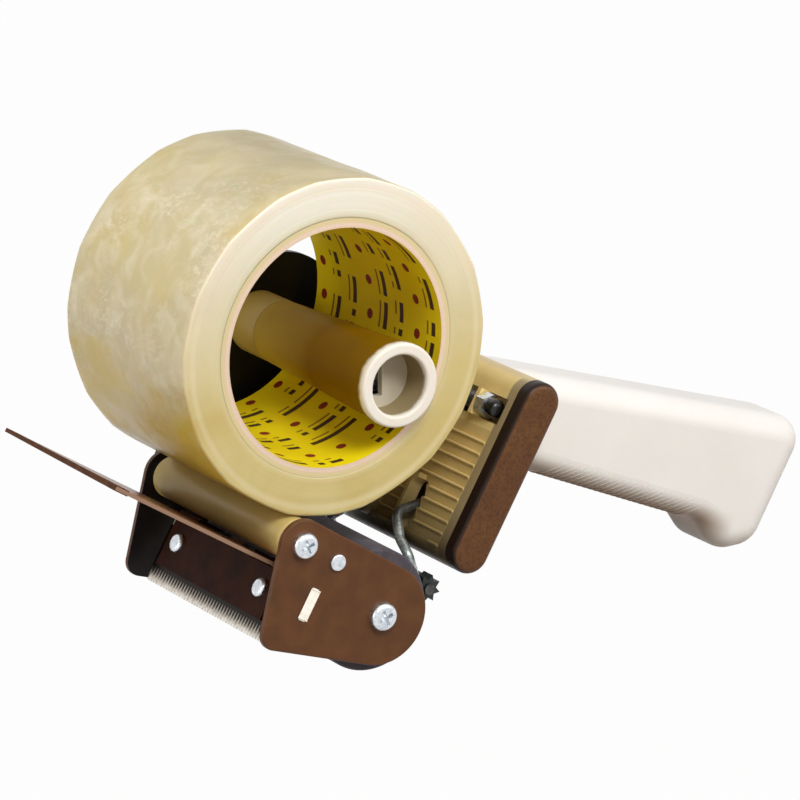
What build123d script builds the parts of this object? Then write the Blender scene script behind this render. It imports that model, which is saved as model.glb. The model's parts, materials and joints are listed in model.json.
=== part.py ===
from build123d import *
import math
import os

# Pistol-grip box-sealing tape dispenser. The working frame has its origin on the roll's axis at
# mid-width: +X points back to the handle, +Y to the side that carries the frame plate, +Z up.
# The last step turns and moves every piece so that the tool stands on its press roller and the
# foot of its handle, with the origin at the bottom centre.

# --- tape roll ---
tape_width = 76.0
roll_radius = 54.0
core_bore_radius = 38.1
liner_thickness = 0.4
core_wall = 2.6
roll_gap = 0.3

# --- head: two side plates, joined by a tie rod, a tie bar and the roller axles ---
# Its pieces are placed by their distances back (x) and up (z) from the guide roller's axis.
head_side_room = 4.5
head_plate_thickness = 2.0
head_plate_edge = 0.5
frame_plate_thickness = 3.0
guide_radius = 7.0
guide_side_room = 2.0
guide_edge = 1.5
guide_direction = 255.0
guide_axle_radius = 3.0
guide_nose_radius = 8.0
guide_washer_radius = 5.0
press_from_guide = (28.1, -28.1)
press_radius = 20.0
press_edge = 1.0
press_tyre_wall = 4.0
press_side_room = 0.7
press_axle_radius = 4.0
press_nose_radius = 16.3
toe_from_guide = (-10.1, -27.8)
toe_radius = 5.0
tie_rod_clear_of_press = 3.4879
tie_rod_direction = 128.2811
tie_rod_radius = 2.5
tie_rod_neck_radius = 2.0
tie_rod_head_radius = 2.7
tie_rod_head_height = 1.0
running_fit = 0.04
bolt_fit = 0.1

# --- frame plate: one arm up to the housing and one down to the head, from a lobe at the hub ---
lobe_from_hub = (8.5, -0.4)
lobe_radius = 22.4
arm_guide_inset = 3.5
arm_press_inset = 4.0

# --- slanted stack behind the wiper: tie bar, spacers, blade, cross plate ---
lean_angle = 60.0
tie_bar_from_guide = (1.6, -19.8)
tie_bar_thickness = 2.3
tie_bar_tab_height = 11.0
tie_bar_height = 12.0
tie_bar_slot_fit = 0.15
spacer_thickness = 3.2
spacer_radius = 4.0
blade_thickness = 0.9
blade_margin = 1.0
blade_reach = 6.1
blade_top = 2.5
tooth_height = 5.4
tooth_count = 44
cross_plate_thickness = 1.5
cross_plate_margin = 4.5
cross_plate_top = 5.2
cross_plate_bottom = -11.0
rivet_drop = -2.0
rivet_from_blade_end = 10.5
rivet_radius = 1.6
rivet_head_radius = 3.2
rivet_head_height = 1.6
rivet_tail_height = 1.0

# --- wiper flap on its hinge behind the top of the cross plate ---
flap_angle = 31.6
flap_length = 73.7
flap_thickness = 1.2
flap_margin = 2.0
flap_lip_length = 5.0
flap_lip_wall = 0.5
hinge_pin_radius = 1.0
knuckle_radius = 1.8
hinge_rise = 1.2
hinge_web_height = 1.2
knuckle_gap = 0.3
flap_outer_knuckle = 12.0
plate_knuckle_length = 11.7
hinge_spring_length = 7.7
hinge_spring_fit = 0.15
hinge_notch_room = 0.5

# --- hub that the core hangs on ---
hub_direction = -34.9
hub_play = 0.8
hub_bolt_radius = 4.0
hub_bolt_tail = 1.5
hub_bolt_head_flats = 13.0
hub_bolt_head_height = 5.3
hub_base_length = 15.0
hub_rear_radius = 10.4
hub_front_radius = 13.2
hub_lip_radius = 13.6
hub_lip_length = 4.0
hub_overhang = 6.0
hub_mouth_radius = 9.8
hub_mouth_edge = 1.0
hub_bearing_length = 6.0
hub_inner_radius = 8.0
hub_web_y = -18.0
hub_washer_radius = 8.0
hub_washer_thickness = 1.2
hub_nut_flats = 13.0
hub_nut_height = 6.5
hub_cap_depth = 12.0
hub_cap_thickness = 2.5
hub_cap_opening = 6.1
hub_cap_web_offset = 0.5
end_play = 0.3

# --- housing: slanted hollow bar between the two trims ---
# Its face is a plane across the way back from the roll; places on it count up along the slant.
face_from_roll = 16.7
face_drop = 16.3
housing_radius = 6.9
housing_top = 28.3
housing_bottom = -23.8
housing_margin = 1.0
housing_wall = 2.2
boss_radius = 5.4
boss_pilot_radius = 1.9
trim_thickness = 5.5
trim_edge = 2.2
peg_length = 9.0
rib_count = 11
rib_top = 13.8
rib_pitch = 3.97
rib_depth = 1.1
rib_margin = 4.5
trough_low = 16.5
trough_high = 25.3
trough_depth = 3.9
trough_margin = 3.0
trough_wall = 1.8
arm_slot_low = -25.5
arm_slot_high = -9.0
arm_slot_width = 5.4
shroud_height = 2.6
shroud_wall = 1.6

# --- keeper: two bent arms on the adjuster spindle, with a star roller between their ends ---
spindle_along = 20.9
spindle_out = 0.6
spindle_radius = 2.0
spindle_end = 1.5
spindle_window = 1.6
spindle_nut_flats = 7.0
spindle_nut_height = 4.4
spindle_lug_thickness = 1.8
spindle_lug_wall = 1.0
knob_radius = 3.2
knob_length = 5.2
knob_cap = 2.8
knob_edge = 2.4
knob_side_room = 0.9
spring_wall = 0.8
spring_fit = 0.2
arm_radius = 1.6
arm_y = 11.0
arm_depth = -6.2
arm_top_along = 17.5
arm_exit_along = -13.5
arm_elbow_on_face = (-22.2, 4.9)
arm_bend_on_face = (-29.4, 3.8)
arm_drop_from_star = (-2.7, 9.5)
arm_elbow_spread = 0.6
arm_bend_inset = 6.5
arm_bend_radii = [3.0, 4.5, 4.0, 4.0, 3.0]
arm_eye_radius = 3.3
arm_eye_half = 1.7
arm_spread_margin = 13.5
star_margin = 6.0
star_radius = 4.6
star_root_radius = 2.9
star_teeth = 8
star_gap = 0.3
star_height = 1.0
keeper_shaft_radius = 1.0
keeper_shaft_head_radius = 1.8
keeper_shaft_head_height = 0.7
keeper_eye_radius = 2.6

# --- handle: two hollow halves, screwed together, on the back of the housing ---
# Its x and z places are counted from the origin of the housing's face.
handle_half_width = 15.5
handle_wall = 2.6
handle_edge = 8.0
handle_corner = 8.5
handle_end_corner = 9.0
pommel_corner = 10.0
pommel_neck_corner = 14.0
handle_slope = 0.303
handle_top_x = 25.4
handle_top_z = 25.3
handle_bar_end_x = 147.5
pommel_back_x = 125.1
pommel_front_x = 110.4
pommel_neck_x = 102.4
pommel_neck_z = -39.5
handle_root_x = 10.9
handle_root_z = -1.3
handle_lead = 22.0
handle_screw_spots = [(52.9, 0.5), (90.9, -12.5), (120.9, -32.5)]
handle_boss_radius = 3.6
handle_screw_radius = 1.5
handle_screw_head_radius = 3.0
handle_screw_head_height = 2.2
handle_screw_seat = 12.3
handle_screw_grip = 10.0
mount_screw_along = [10.0, 19.0]
mount_screw_y = 6.0
mount_screw_length = 8.0
mount_boss_length = 10.0

# --- screws ---
guide_screw_head_radius = 4.2
press_screw_head_radius = 4.6
head_screw_height = 2.7
head_screw_shank_radius = 2.5
head_screw_length = 12.0
screw_recess_length = 1.1
screw_recess_width = 0.24
screw_recess_start = 0.45
screw_recess_turn = 20.0
screw_dome = 0.6
housing_screw_radius = 1.8
housing_screw_head_radius = 3.6
housing_screw_length = 22.0

# --- how it stands: turned about Y from the working frame, on the press roller and the foot ---
standing_tilt = 2.28

# --- places worked out from the sizes above ---
tape_half = tape_width / 2
head_inner_half = tape_half + head_side_room
head_outer_half = head_inner_half + head_plate_thickness
frame_outer_y = head_outer_half + frame_plate_thickness
guide_half_length = head_inner_half - guide_side_room
press_core_half = head_inner_half - press_side_room
blade_half_width = tape_half - blade_margin
rivet_offset = blade_half_width - rivet_from_blade_end
cross_plate_half_width = tape_half - cross_plate_margin
flap_half_width = tape_half - flap_margin
housing_half_width = tape_half - housing_margin
rib_half_width = housing_half_width - rib_margin
trough_half_width = housing_half_width - trough_margin
knob_tip_y = knob_side_room - trough_half_width
nut_reach = -knob_tip_y - knob_length
lug_reach = nut_reach - spindle_nut_height - end_play
arm_spread_y = tape_half - arm_spread_margin
star_half_length = tape_half - star_margin
guide_reach = roll_radius + guide_radius + roll_gap
guide_x = guide_reach * math.cos(math.radians(guide_direction))
guide_z = guide_reach * math.sin(math.radians(guide_direction))
press_x = guide_x + press_from_guide[0]
press_z = guide_z + press_from_guide[1]
toe_x = guide_x + toe_from_guide[0]
toe_z = guide_z + toe_from_guide[1]
tie_rod_reach = press_radius + tie_rod_radius + tie_rod_clear_of_press
tie_rod_x = press_x + tie_rod_reach * math.cos(math.radians(tie_rod_direction))
tie_rod_z = press_z + tie_rod_reach * math.sin(math.radians(tie_rod_direction))
tie_bar_x = guide_x + tie_bar_from_guide[0]
tie_bar_z = guide_z + tie_bar_from_guide[1]
hub_reach = core_bore_radius - hub_lip_radius - hub_play
hub_x = hub_reach * math.cos(math.radians(hub_direction))
hub_z = hub_reach * math.sin(math.radians(hub_direction))
stack_frame = Pos(tie_bar_x, tie_bar_z) * Rot(0, 0, lean_angle)
face_frame = Rot(0, 0, lean_angle) * Pos(-face_drop, -roll_radius - face_from_roll)
blade_back = tie_bar_thickness / 2 + spacer_thickness
plate_back = blade_back + blade_thickness
plate_front = plate_back + cross_plate_thickness
hub_front_y = -tape_half - hub_overhang
hub_rear_y = head_outer_half - hub_base_length - end_play
shroud_reach = arm_slot_width / 2 + shroud_wall


def ground_at(x):
    """Height of the ground in the working frame, where the standing tool sees it as sloping."""
    tilt = math.radians(standing_tilt)
    return press_z - press_radius / math.cos(tilt) + (x - press_x) * math.tan(tilt)


def spot(frame, along, out):
    """X and Z of a point given in a slanted frame, as distances along and out of its face."""
    place = (frame * Pos(along, out)).position
    return place.X, place.Y


hinge_along = cross_plate_top + hinge_rise
hinge_out = plate_back - knuckle_radius
hinge_x, hinge_z = spot(stack_frame, hinge_along, hinge_out)
face_x, face_z = spot(face_frame, 0, 0)
spindle_x, spindle_z = spot(face_frame, spindle_along, spindle_out)
boss_spots = [spot(face_frame, end, -housing_radius) for end in (housing_top, housing_bottom)]
star_reach = press_radius + star_radius + star_gap
star_z = press_z + star_height
star_x = press_x + math.sqrt(star_reach**2 - star_height**2)
handle_screw_places = [(face_x + x, face_z + z) for x, z in handle_screw_spots]
wiper_frame = Pos(hinge_x, hinge_z) * Rot(0, 0, 180 - flap_angle)


def slab(outline, low, high):
    """Solid of an XZ outline between two Y values."""
    return extrude(Plane.XZ.offset(-high) * outline, high - low)


def disc(x, z, radius):
    return Pos(x, z) * Circle(radius)


def rod(x, z, radius, low, high):
    return slab(disc(x, z, radius), low, high)


def tube(x, z, outer, inner, low, high):
    return slab(disc(x, z, outer) - disc(x, z, inner), low, high)


def hull(*discs):
    """Outline that a belt round the given discs (x, z, radius) encloses."""
    return make_hull([disc(*one).edge() for one in discs])


def block(frame, along_low, along_high, out_low, out_high, low, high):
    """Box in a slanted frame, between two Y values."""
    size = Rectangle(along_high - along_low, out_high - out_low)
    middle = Pos((along_low + along_high) / 2, (out_low + out_high) / 2)
    return slab(frame * middle * size, low, high)


def group(pieces):
    """Separate solids kept together in one node."""
    return Compound([solid for piece in pieces for solid in piece.solids()])


def spin(profile, x, z):
    """Solid of revolution about the Y-parallel line through (x, z); points are (radius, y)."""
    outline = Plane.XY * make_face(Polyline(*profile, close=True))
    return Pos(x, 0, z) * revolve(outline, Axis.Y)


def hexagon(x, z, flats):
    return Pos(x, z) * RegularPolygon(flats / 2, 6, major_radius=False, rotation=12)


def along_y(x, y, z, side):
    """Place at (x, y, z) whose own Z looks along Y, towards the given side."""
    return Plane((x, y, z), x_dir=(1, 0, 0), z_dir=(0, side, 0)).location


def leaning(frame, along, out, y, way):
    """Place in a slanted frame whose own Z looks out of the face (way 1) or into it (-1)."""
    x, z = spot(frame, along, out)
    angle = math.radians(lean_angle + 90)
    normal = (way * math.cos(angle), 0, way * math.sin(angle))
    return Plane((x, y, z), x_dir=(0, 1, 0), z_dir=normal).location


def pin(place, radius, length):
    """Cylinder that starts at a place and runs along its Z."""
    return place * extrude(Circle(radius), length)


def pan_screw(place, head_radius, head_height, shank_radius, length):
    """Cross-recessed pan-head screw: its seat is at the place and its head above it."""
    head = extrude(Circle(head_radius), head_height)
    head = fillet(head.edges().group_by(Axis.Z)[-1], head_height * screw_dome)
    recess = Pos(0, 0, head_height * screw_recess_start)
    arm = Rectangle(head_radius * screw_recess_length, head_radius * screw_recess_width)
    for turn in (screw_recess_turn, screw_recess_turn + 90):
        head -= recess * extrude(Rot(0, 0, turn) * arm, head_height)
    return place * (head + extrude(Circle(shank_radius), -length))


# ---------- tape roll ----------

def tape_film():
    core_outer = core_bore_radius + core_wall + liner_thickness
    return tube(0, 0, roll_radius, core_outer, -tape_half, tape_half)


def tape_core():
    inner = core_bore_radius + liner_thickness
    return tube(0, 0, inner + core_wall, inner, -tape_half, tape_half)


def core_liner():
    outer = core_bore_radius + liner_thickness
    return tube(0, 0, outer, core_bore_radius, -tape_half, tape_half)


# ---------- hub ----------

def hub_bolt():
    tip = hub_web_y - end_play - hub_washer_thickness - hub_nut_height - hub_bolt_tail
    shank = rod(hub_x, hub_z, hub_bolt_radius, tip, frame_outer_y)
    head_top = frame_outer_y + hub_bolt_head_height
    return shank + slab(hexagon(hub_x, hub_z, hub_bolt_head_flats), frame_outer_y, head_top)


def hub_base():
    bore = hub_bolt_radius + running_fit
    low = head_outer_half - hub_base_length
    return tube(hub_x, hub_z, hub_rear_radius, bore, low, head_outer_half)


def hub_sleeve():
    lip_y = hub_front_y + hub_lip_length
    bore = hub_bolt_radius + running_fit
    front_land = hub_web_y + hub_bearing_length
    rear_land = hub_rear_y - hub_bearing_length
    shell = spin([
        (bore, hub_rear_y), (hub_rear_radius, hub_rear_y), (hub_front_radius, lip_y),
        (hub_lip_radius, lip_y), (hub_lip_radius, hub_front_y), (hub_mouth_radius, hub_front_y),
        (hub_mouth_radius, hub_web_y), (bore, hub_web_y), (bore, front_land),
        (hub_inner_radius, front_land), (hub_inner_radius, rear_land), (bore, rear_land),
    ], hub_x, hub_z)
    return fillet(shell.edges().group_by(Axis.Y)[0], hub_mouth_edge)


def hub_cap():
    """Ring inside the sleeve's mouth with one half of its opening closed."""
    high = hub_front_y + hub_cap_depth + hub_cap_thickness
    whole = disc(hub_x, hub_z, hub_mouth_radius)
    back_half = Pos(hub_x + hub_mouth_radius / 2 + hub_cap_web_offset, hub_z) * Rectangle(
        hub_mouth_radius, 2 * hub_mouth_radius)
    plate = whole - disc(hub_x, hub_z, hub_cap_opening) + (whole & back_half)
    return slab(plate, high - hub_cap_thickness, high)


def hub_washer():
    high = hub_web_y - end_play
    bore = hub_bolt_radius + bolt_fit
    return tube(hub_x, hub_z, hub_washer_radius, bore, high - hub_washer_thickness, high)


def hub_nut():
    high = hub_web_y - end_play - hub_washer_thickness
    outline = hexagon(hub_x, hub_z, hub_nut_flats) - disc(hub_x, hub_z, hub_bolt_radius)
    return slab(outline, high - hub_nut_height, high)


# ---------- head ----------

def head_outline():
    return hull((guide_x, guide_z, guide_nose_radius), (press_x, press_z, press_nose_radius),
                (toe_x, toe_z, toe_radius))


def head_plate(side):
    """Side plate with its two screw holes, the tie rod's hole and the tie bar's slot."""
    slot = Rectangle(tie_bar_tab_height + 2 * tie_bar_slot_fit,
                     tie_bar_thickness + 2 * tie_bar_slot_fit)
    outline = head_outline()
    outline -= disc(guide_x, guide_z, head_screw_shank_radius + bolt_fit)
    outline -= disc(press_x, press_z, head_screw_shank_radius + bolt_fit)
    outline -= disc(tie_rod_x, tie_rod_z, tie_rod_neck_radius + bolt_fit)
    outline -= stack_frame * slot
    low, high = sorted((side * head_inner_half, side * head_outer_half))
    plate = slab(outline, low, high)
    outer_rim = plate.faces().sort_by(Axis.Y)[0 if side < 0 else -1].outer_wire().edges()
    return fillet(outer_rim, head_plate_edge)


def frame_plate():
    """Steel plate that ties the hub, the head and the housing together."""
    lobe = (hub_x + lobe_from_hub[0], hub_z + lobe_from_hub[1], lobe_radius)
    ends = [(x, z, housing_radius) for x, z in boss_spots]
    guide_end = (guide_x, guide_z, guide_nose_radius - arm_guide_inset)
    press_end = (press_x, press_z, press_nose_radius - arm_press_inset)
    outline = hull(lobe, *ends) + hull(lobe, guide_end, press_end)
    outline -= disc(hub_x, hub_z, hub_bolt_radius + bolt_fit)
    outline -= disc(guide_x, guide_z, head_screw_shank_radius + bolt_fit)
    outline -= disc(press_x, press_z, head_screw_shank_radius + bolt_fit)
    outline -= disc(tie_rod_x, tie_rod_z, tie_rod_neck_radius + bolt_fit)
    for x, z in boss_spots:
        outline -= disc(x, z, housing_screw_radius + bolt_fit)
    return slab(outline, head_outer_half, frame_outer_y)


def tie_rod():
    body = rod(tie_rod_x, tie_rod_z, tie_rod_radius, -head_inner_half, head_inner_half)
    neck = rod(tie_rod_x, tie_rod_z, tie_rod_neck_radius, -head_outer_half, frame_outer_y)
    near_end = -head_outer_half - tie_rod_head_height
    near = rod(tie_rod_x, tie_rod_z, tie_rod_head_radius, near_end, -head_outer_half)
    far_end = frame_outer_y + tie_rod_head_height
    far = rod(tie_rod_x, tie_rod_z, tie_rod_head_radius, frame_outer_y, far_end)
    near = fillet(near.edges().group_by(Axis.Y)[0], tie_rod_head_height * 0.5)
    far = fillet(far.edges().group_by(Axis.Y)[-1], tie_rod_head_height * 0.5)
    return body + neck + near + far


def axle(x, z, radius):
    """Plain axle between the side plates, drilled at both ends for its screws."""
    shaft = rod(x, z, radius, -head_inner_half, head_inner_half)
    for side in (-1, 1):
        depth = head_screw_length
        low, high = sorted((side * head_inner_half, side * (head_inner_half - depth)))
        shaft -= rod(x, z, head_screw_shank_radius, low, high)
    return shaft


def axle_screws(x, z, head_radius):
    """One screw through the near plate and one through the frame and far plates."""
    return group([
        pan_screw(along_y(x, -head_outer_half, z, -1), head_radius, head_screw_height,
                  head_screw_shank_radius, head_screw_length),
        pan_screw(along_y(x, frame_outer_y, z, 1), head_radius, head_screw_height,
                  head_screw_shank_radius, head_screw_length + frame_plate_thickness),
    ])


def guide_roller():
    barrel = tube(guide_x, guide_z, guide_radius, guide_axle_radius + running_fit,
                  -guide_half_length, guide_half_length)
    ends = [edge for edge in barrel.edges().filter_by(GeomType.CIRCLE)
            if edge.radius > guide_radius - 0.1]
    return fillet(ends, guide_edge)


def guide_washers():
    bore = guide_axle_radius + bolt_fit
    gap = head_inner_half - guide_half_length - end_play
    pair = []
    for side in (-1, 1):
        low, high = sorted((side * head_inner_half, side * (head_inner_half - gap)))
        pair.append(tube(guide_x, guide_z, guide_washer_radius, bore, low, high))
    return group(pair)


def press_core():
    inner = press_radius - press_tyre_wall
    return tube(press_x, press_z, inner, press_axle_radius + running_fit,
                -press_core_half, press_core_half)


def press_tyre():
    tyre = tube(press_x, press_z, press_radius, press_radius - press_tyre_wall,
                -tape_half, tape_half)
    rims = [edge for edge in tyre.edges().filter_by(GeomType.CIRCLE)
            if edge.radius > press_radius - 0.1]
    return fillet(rims, press_edge)


# ---------- blade stack ----------

def stack_pin(y, radius, low, high):
    """Cylinder on a rivet's axis, from low to high out of the tie bar's middle."""
    return pin(leaning(stack_frame, rivet_drop, low, y, 1), radius, high - low)


def with_rivet_holes(piece):
    for y in (-rivet_offset, rivet_offset):
        piece -= stack_pin(y, rivet_radius, -5.0, plate_front + 5.0)
    return piece


def tie_bar():
    half = tie_bar_thickness / 2
    bar = block(stack_frame, -tie_bar_height / 2, tie_bar_height / 2, -half, half,
                -head_inner_half, head_inner_half)
    tabs = block(stack_frame, -tie_bar_tab_height / 2, tie_bar_tab_height / 2, -half, half,
                 -head_outer_half, head_outer_half)
    return with_rivet_holes(bar + tabs)


def blade_spacers():
    pair = []
    for y in (-rivet_offset, rivet_offset):
        ring = stack_pin(y, spacer_radius, tie_bar_thickness / 2, blade_back)
        pair.append(ring - stack_pin(y, rivet_radius, 0.0, plate_back))
    return group(pair)


def cutter_blade():
    """Flat strip with a row of pointed teeth along its lower edge."""
    pitch = 2 * blade_half_width / tooth_count
    root = cross_plate_bottom - blade_reach + tooth_height
    corners = [(blade_half_width, blade_top), (-blade_half_width, blade_top)]
    for tooth in range(tooth_count):
        start = -blade_half_width + tooth * pitch
        corners.append((start, root))
        corners.append((start + pitch / 2, root - tooth_height))
    corners.append((blade_half_width, root))
    strip = leaning(stack_frame, 0, blade_back, 0, 1) * extrude(
        Rot(0, 0, 180) * make_face(Polyline(*corners, close=True)), blade_thickness)
    return with_rivet_holes(strip)


def hinge_bays():
    """Y spans of the flap's outer knuckles, the plate's knuckles, the springs and the middle."""
    outer = flap_half_width - flap_outer_knuckle
    plate = outer - knuckle_gap - plate_knuckle_length
    spring = plate - knuckle_gap - hinge_spring_length
    flap = [(-flap_half_width, -outer), (-spring + knuckle_gap, spring - knuckle_gap),
            (outer, flap_half_width)]
    fixed = [(-outer + knuckle_gap, -plate), (plate, outer - knuckle_gap)]
    coils = [(-plate + knuckle_gap, -spring), (spring, plate - knuckle_gap)]
    return flap, fixed, coils


def cross_plate():
    """Front plate of the stack, with the hinge's fixed knuckles on webs behind its top edge."""
    fixed = hinge_bays()[1]
    plate = block(stack_frame, cross_plate_bottom, cross_plate_top, plate_back, plate_front,
                  -cross_plate_half_width, cross_plate_half_width)
    for low, high in fixed:
        plate += block(stack_frame, cross_plate_top - hinge_web_height, cross_plate_top,
                       hinge_out, plate_back, low, high)
        plate += rod(hinge_x, hinge_z, knuckle_radius, low, high)
    plate -= rod(hinge_x, hinge_z, hinge_pin_radius, -flap_half_width, flap_half_width)
    return with_rivet_holes(plate)


def blade_rivets():
    """Rivets with domed heads in front and flat tails behind the tie bar."""
    pair = []
    back = -tie_bar_thickness / 2
    for y in (-rivet_offset, rivet_offset):
        shank = stack_pin(y, rivet_radius, back, plate_front)
        head = stack_pin(y, rivet_head_radius, plate_front, plate_front + rivet_head_height)
        head = fillet(head.edges().sort_by(Axis.X)[0], rivet_head_height * 0.7)
        tail = stack_pin(y, rivet_head_radius * 0.8, back - rivet_tail_height, back)
        pair.append(shank + head + tail)
    return group(pair)


# ---------- wiper flap ----------

def hinge_pin():
    return rod(hinge_x, hinge_z, hinge_pin_radius, -flap_half_width, flap_half_width)


def wiper_flap():
    """Sheet in line with the pin, cut away round the plate's knuckles and the springs."""
    flap, fixed, coils = hinge_bays()
    half = flap_thickness / 2
    sheet = block(wiper_frame, 0, flap_length, -half, half, -flap_half_width, flap_half_width)
    for low, high in fixed + coils:
        sheet -= block(wiper_frame, -1.0, knuckle_radius + hinge_notch_room, -1.0, 1.0,
                       low - knuckle_gap, high + knuckle_gap)
    for low, high in flap:
        sheet += rod(hinge_x, hinge_z, knuckle_radius, low, high)
    bore = hinge_pin_radius + running_fit
    return sheet - rod(hinge_x, hinge_z, bore, -flap_half_width, flap_half_width)


def flap_lip():
    """Dark edging strip folded over the flap's free edge."""
    sheet = flap_thickness / 2
    half = sheet + flap_lip_wall
    strip = block(wiper_frame, flap_length - flap_lip_length, flap_length + flap_lip_wall,
                  -half, half, -flap_half_width, flap_half_width)
    return strip - block(wiper_frame, 0, flap_length, -sheet, sheet,
                         -flap_half_width, flap_half_width)


def flap_springs():
    coils = hinge_bays()[2]
    inner = hinge_pin_radius + hinge_spring_fit
    return group([tube(hinge_x, hinge_z, knuckle_radius - bolt_fit, inner, low, high)
                  for low, high in coils])


# ---------- housing and trims ----------

def bar_outline(inset):
    """Round-ended outline of the housing, made smaller all round by inset."""
    length = housing_top - housing_bottom
    middle = Pos((housing_top + housing_bottom) / 2, -housing_radius)
    return face_frame * middle * SlotCenterToCenter(length, 2 * (housing_radius - inset))


def rib_cuts():
    """Sawtooth notches: each rib is a ledge that faces up, above a face that slopes back."""
    cuts = []
    for rib in range(rib_count - 1):
        high = rib_top - rib * rib_pitch
        low = high - rib_pitch
        wedge = make_face(Polyline((high, 0), (high, 0.5), (low, 0.5), (low, -rib_depth),
                                   close=True))
        cuts.append(slab(face_frame * wedge, -rib_half_width, rib_half_width))
    return cuts


def arm_slot(side, grow, low_out, high_out):
    """Round-ended slot in the face where an arm comes out, grown all round by grow."""
    length = arm_slot_high - arm_slot_low - arm_slot_width
    place = leaning(face_frame, (arm_slot_low + arm_slot_high) / 2, low_out, side * arm_y, 1)
    outline = SlotCenterToCenter(length, arm_slot_width + 2 * grow, rotation=90)
    return place * extrude(outline, high_out - low_out)


def shroud(side):
    """Raised rim round the inner half of an arm's slot."""
    rim = arm_slot(side, shroud_wall, -housing_wall / 2, shroud_height)
    rim -= arm_slot(side, 0, -housing_wall, shroud_height + 1.0)
    span = sorted((side * (arm_y - shroud_reach - 1.0), side * arm_y))
    return rim & block(face_frame, arm_slot_low - 5.0, arm_slot_high + 5.0, -5.0, 10.0, *span)


def spindle_lug(side):
    """Lug across the trough, just inside a nut, with the hole that the spindle turns in."""
    low, high = sorted((side * (lug_reach - spindle_lug_thickness), side * lug_reach))
    top = spindle_out + spindle_radius + spindle_lug_wall
    lug = block(face_frame, trough_low, trough_high, -trough_depth, top, low, high)
    return lug - rod(spindle_x, spindle_z, spindle_radius + running_fit, low, high)


def housing():
    half = housing_half_width
    shell = slab(bar_outline(0), -half, half)
    shell -= slab(bar_outline(housing_wall), -half, half)
    trough = block(face_frame, trough_low - trough_wall, trough_high + trough_wall,
                   -trough_depth - trough_wall, -housing_wall / 2,
                   -trough_half_width - trough_wall, trough_half_width + trough_wall)
    shell += trough
    for x, z in boss_spots:
        shell += rod(x, z, boss_radius, -half, half)
    shell -= block(face_frame, trough_low, trough_high, -trough_depth, 5.0,
                   -trough_half_width, trough_half_width)
    for side in (-1, 1):
        shell += spindle_lug(side)
    for cut in rib_cuts():
        shell -= cut
    for side in (-1, 1):
        shell += shroud(side)
        shell -= arm_slot(side, 0, -housing_wall - 1.0, shroud_height + 1.0)
        shell -= block(face_frame, trough_low - trough_wall - 1.0, spindle_along + spindle_window,
                       -trough_depth - trough_wall - 1.0, -housing_wall - 0.1,
                       side * arm_y - arm_slot_width / 2, side * arm_y + arm_slot_width / 2)
    for x, z in boss_spots:
        shell -= rod(x, z, boss_pilot_radius, -half, half)
    for along, y in mount_screw_spots():
        shell -= mount_pin(along, y, handle_screw_radius + bolt_fit, housing_radius + 1.0,
                           housing_radius)
    return shell


def trim(side):
    """Round-ended cover for one end of the housing, with two pegs on the near one."""
    outer = -housing_half_width - trim_thickness if side < 0 else head_outer_half
    low, high = sorted((outer, side * housing_half_width))
    cover = slab(bar_outline(0), low, high)
    if side < 0:
        rim = cover.faces().sort_by(Axis.Y)[0].edges()
        cover = fillet(rim, trim_edge)
        for x, z in boss_spots:
            peg_tip = -housing_half_width + peg_length
            cover += rod(x, z, boss_pilot_radius - running_fit, -housing_half_width, peg_tip)
        return cover
    for x, z in boss_spots:
        cover -= rod(x, z, housing_screw_radius + bolt_fit, low, high)
    return cover


def housing_screws():
    """Long screws through the frame plate and the far trim into the housing's bosses."""
    return group([pan_screw(along_y(x, frame_outer_y, z, 1), housing_screw_head_radius,
                            handle_screw_head_height, housing_screw_radius,
                            housing_screw_length) for x, z in boss_spots])


# ---------- keeper and adjuster ----------

def adjuster_spindle():
    return rod(spindle_x, spindle_z, spindle_radius, knob_tip_y + knob_cap,
               nut_reach + spindle_end)


def adjuster_knob():
    """Blind knob with a ball-like end, on the near end of the spindle."""
    knob = rod(spindle_x, spindle_z, knob_radius, knob_tip_y, -nut_reach)
    knob = fillet(knob.edges().group_by(Axis.Y)[0], knob_edge)
    return knob - rod(spindle_x, spindle_z, spindle_radius, knob_tip_y + knob_cap, -nut_reach)


def adjuster_nuts():
    low = nut_reach - spindle_nut_height
    outline = hexagon(spindle_x, spindle_z, spindle_nut_flats)
    outline -= disc(spindle_x, spindle_z, spindle_radius)
    return group([slab(outline, -nut_reach, -low), slab(outline, low, nut_reach)])


def keeper_springs():
    inner = spindle_radius + spring_fit
    outer = inner + spring_wall
    start = arm_y + arm_eye_half + knuckle_gap
    end = lug_reach - spindle_lug_thickness - knuckle_gap
    near = tube(spindle_x, spindle_z, outer, inner, -end, -start)
    far = tube(spindle_x, spindle_z, outer, inner, start, end)
    return group([near, far])


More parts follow.
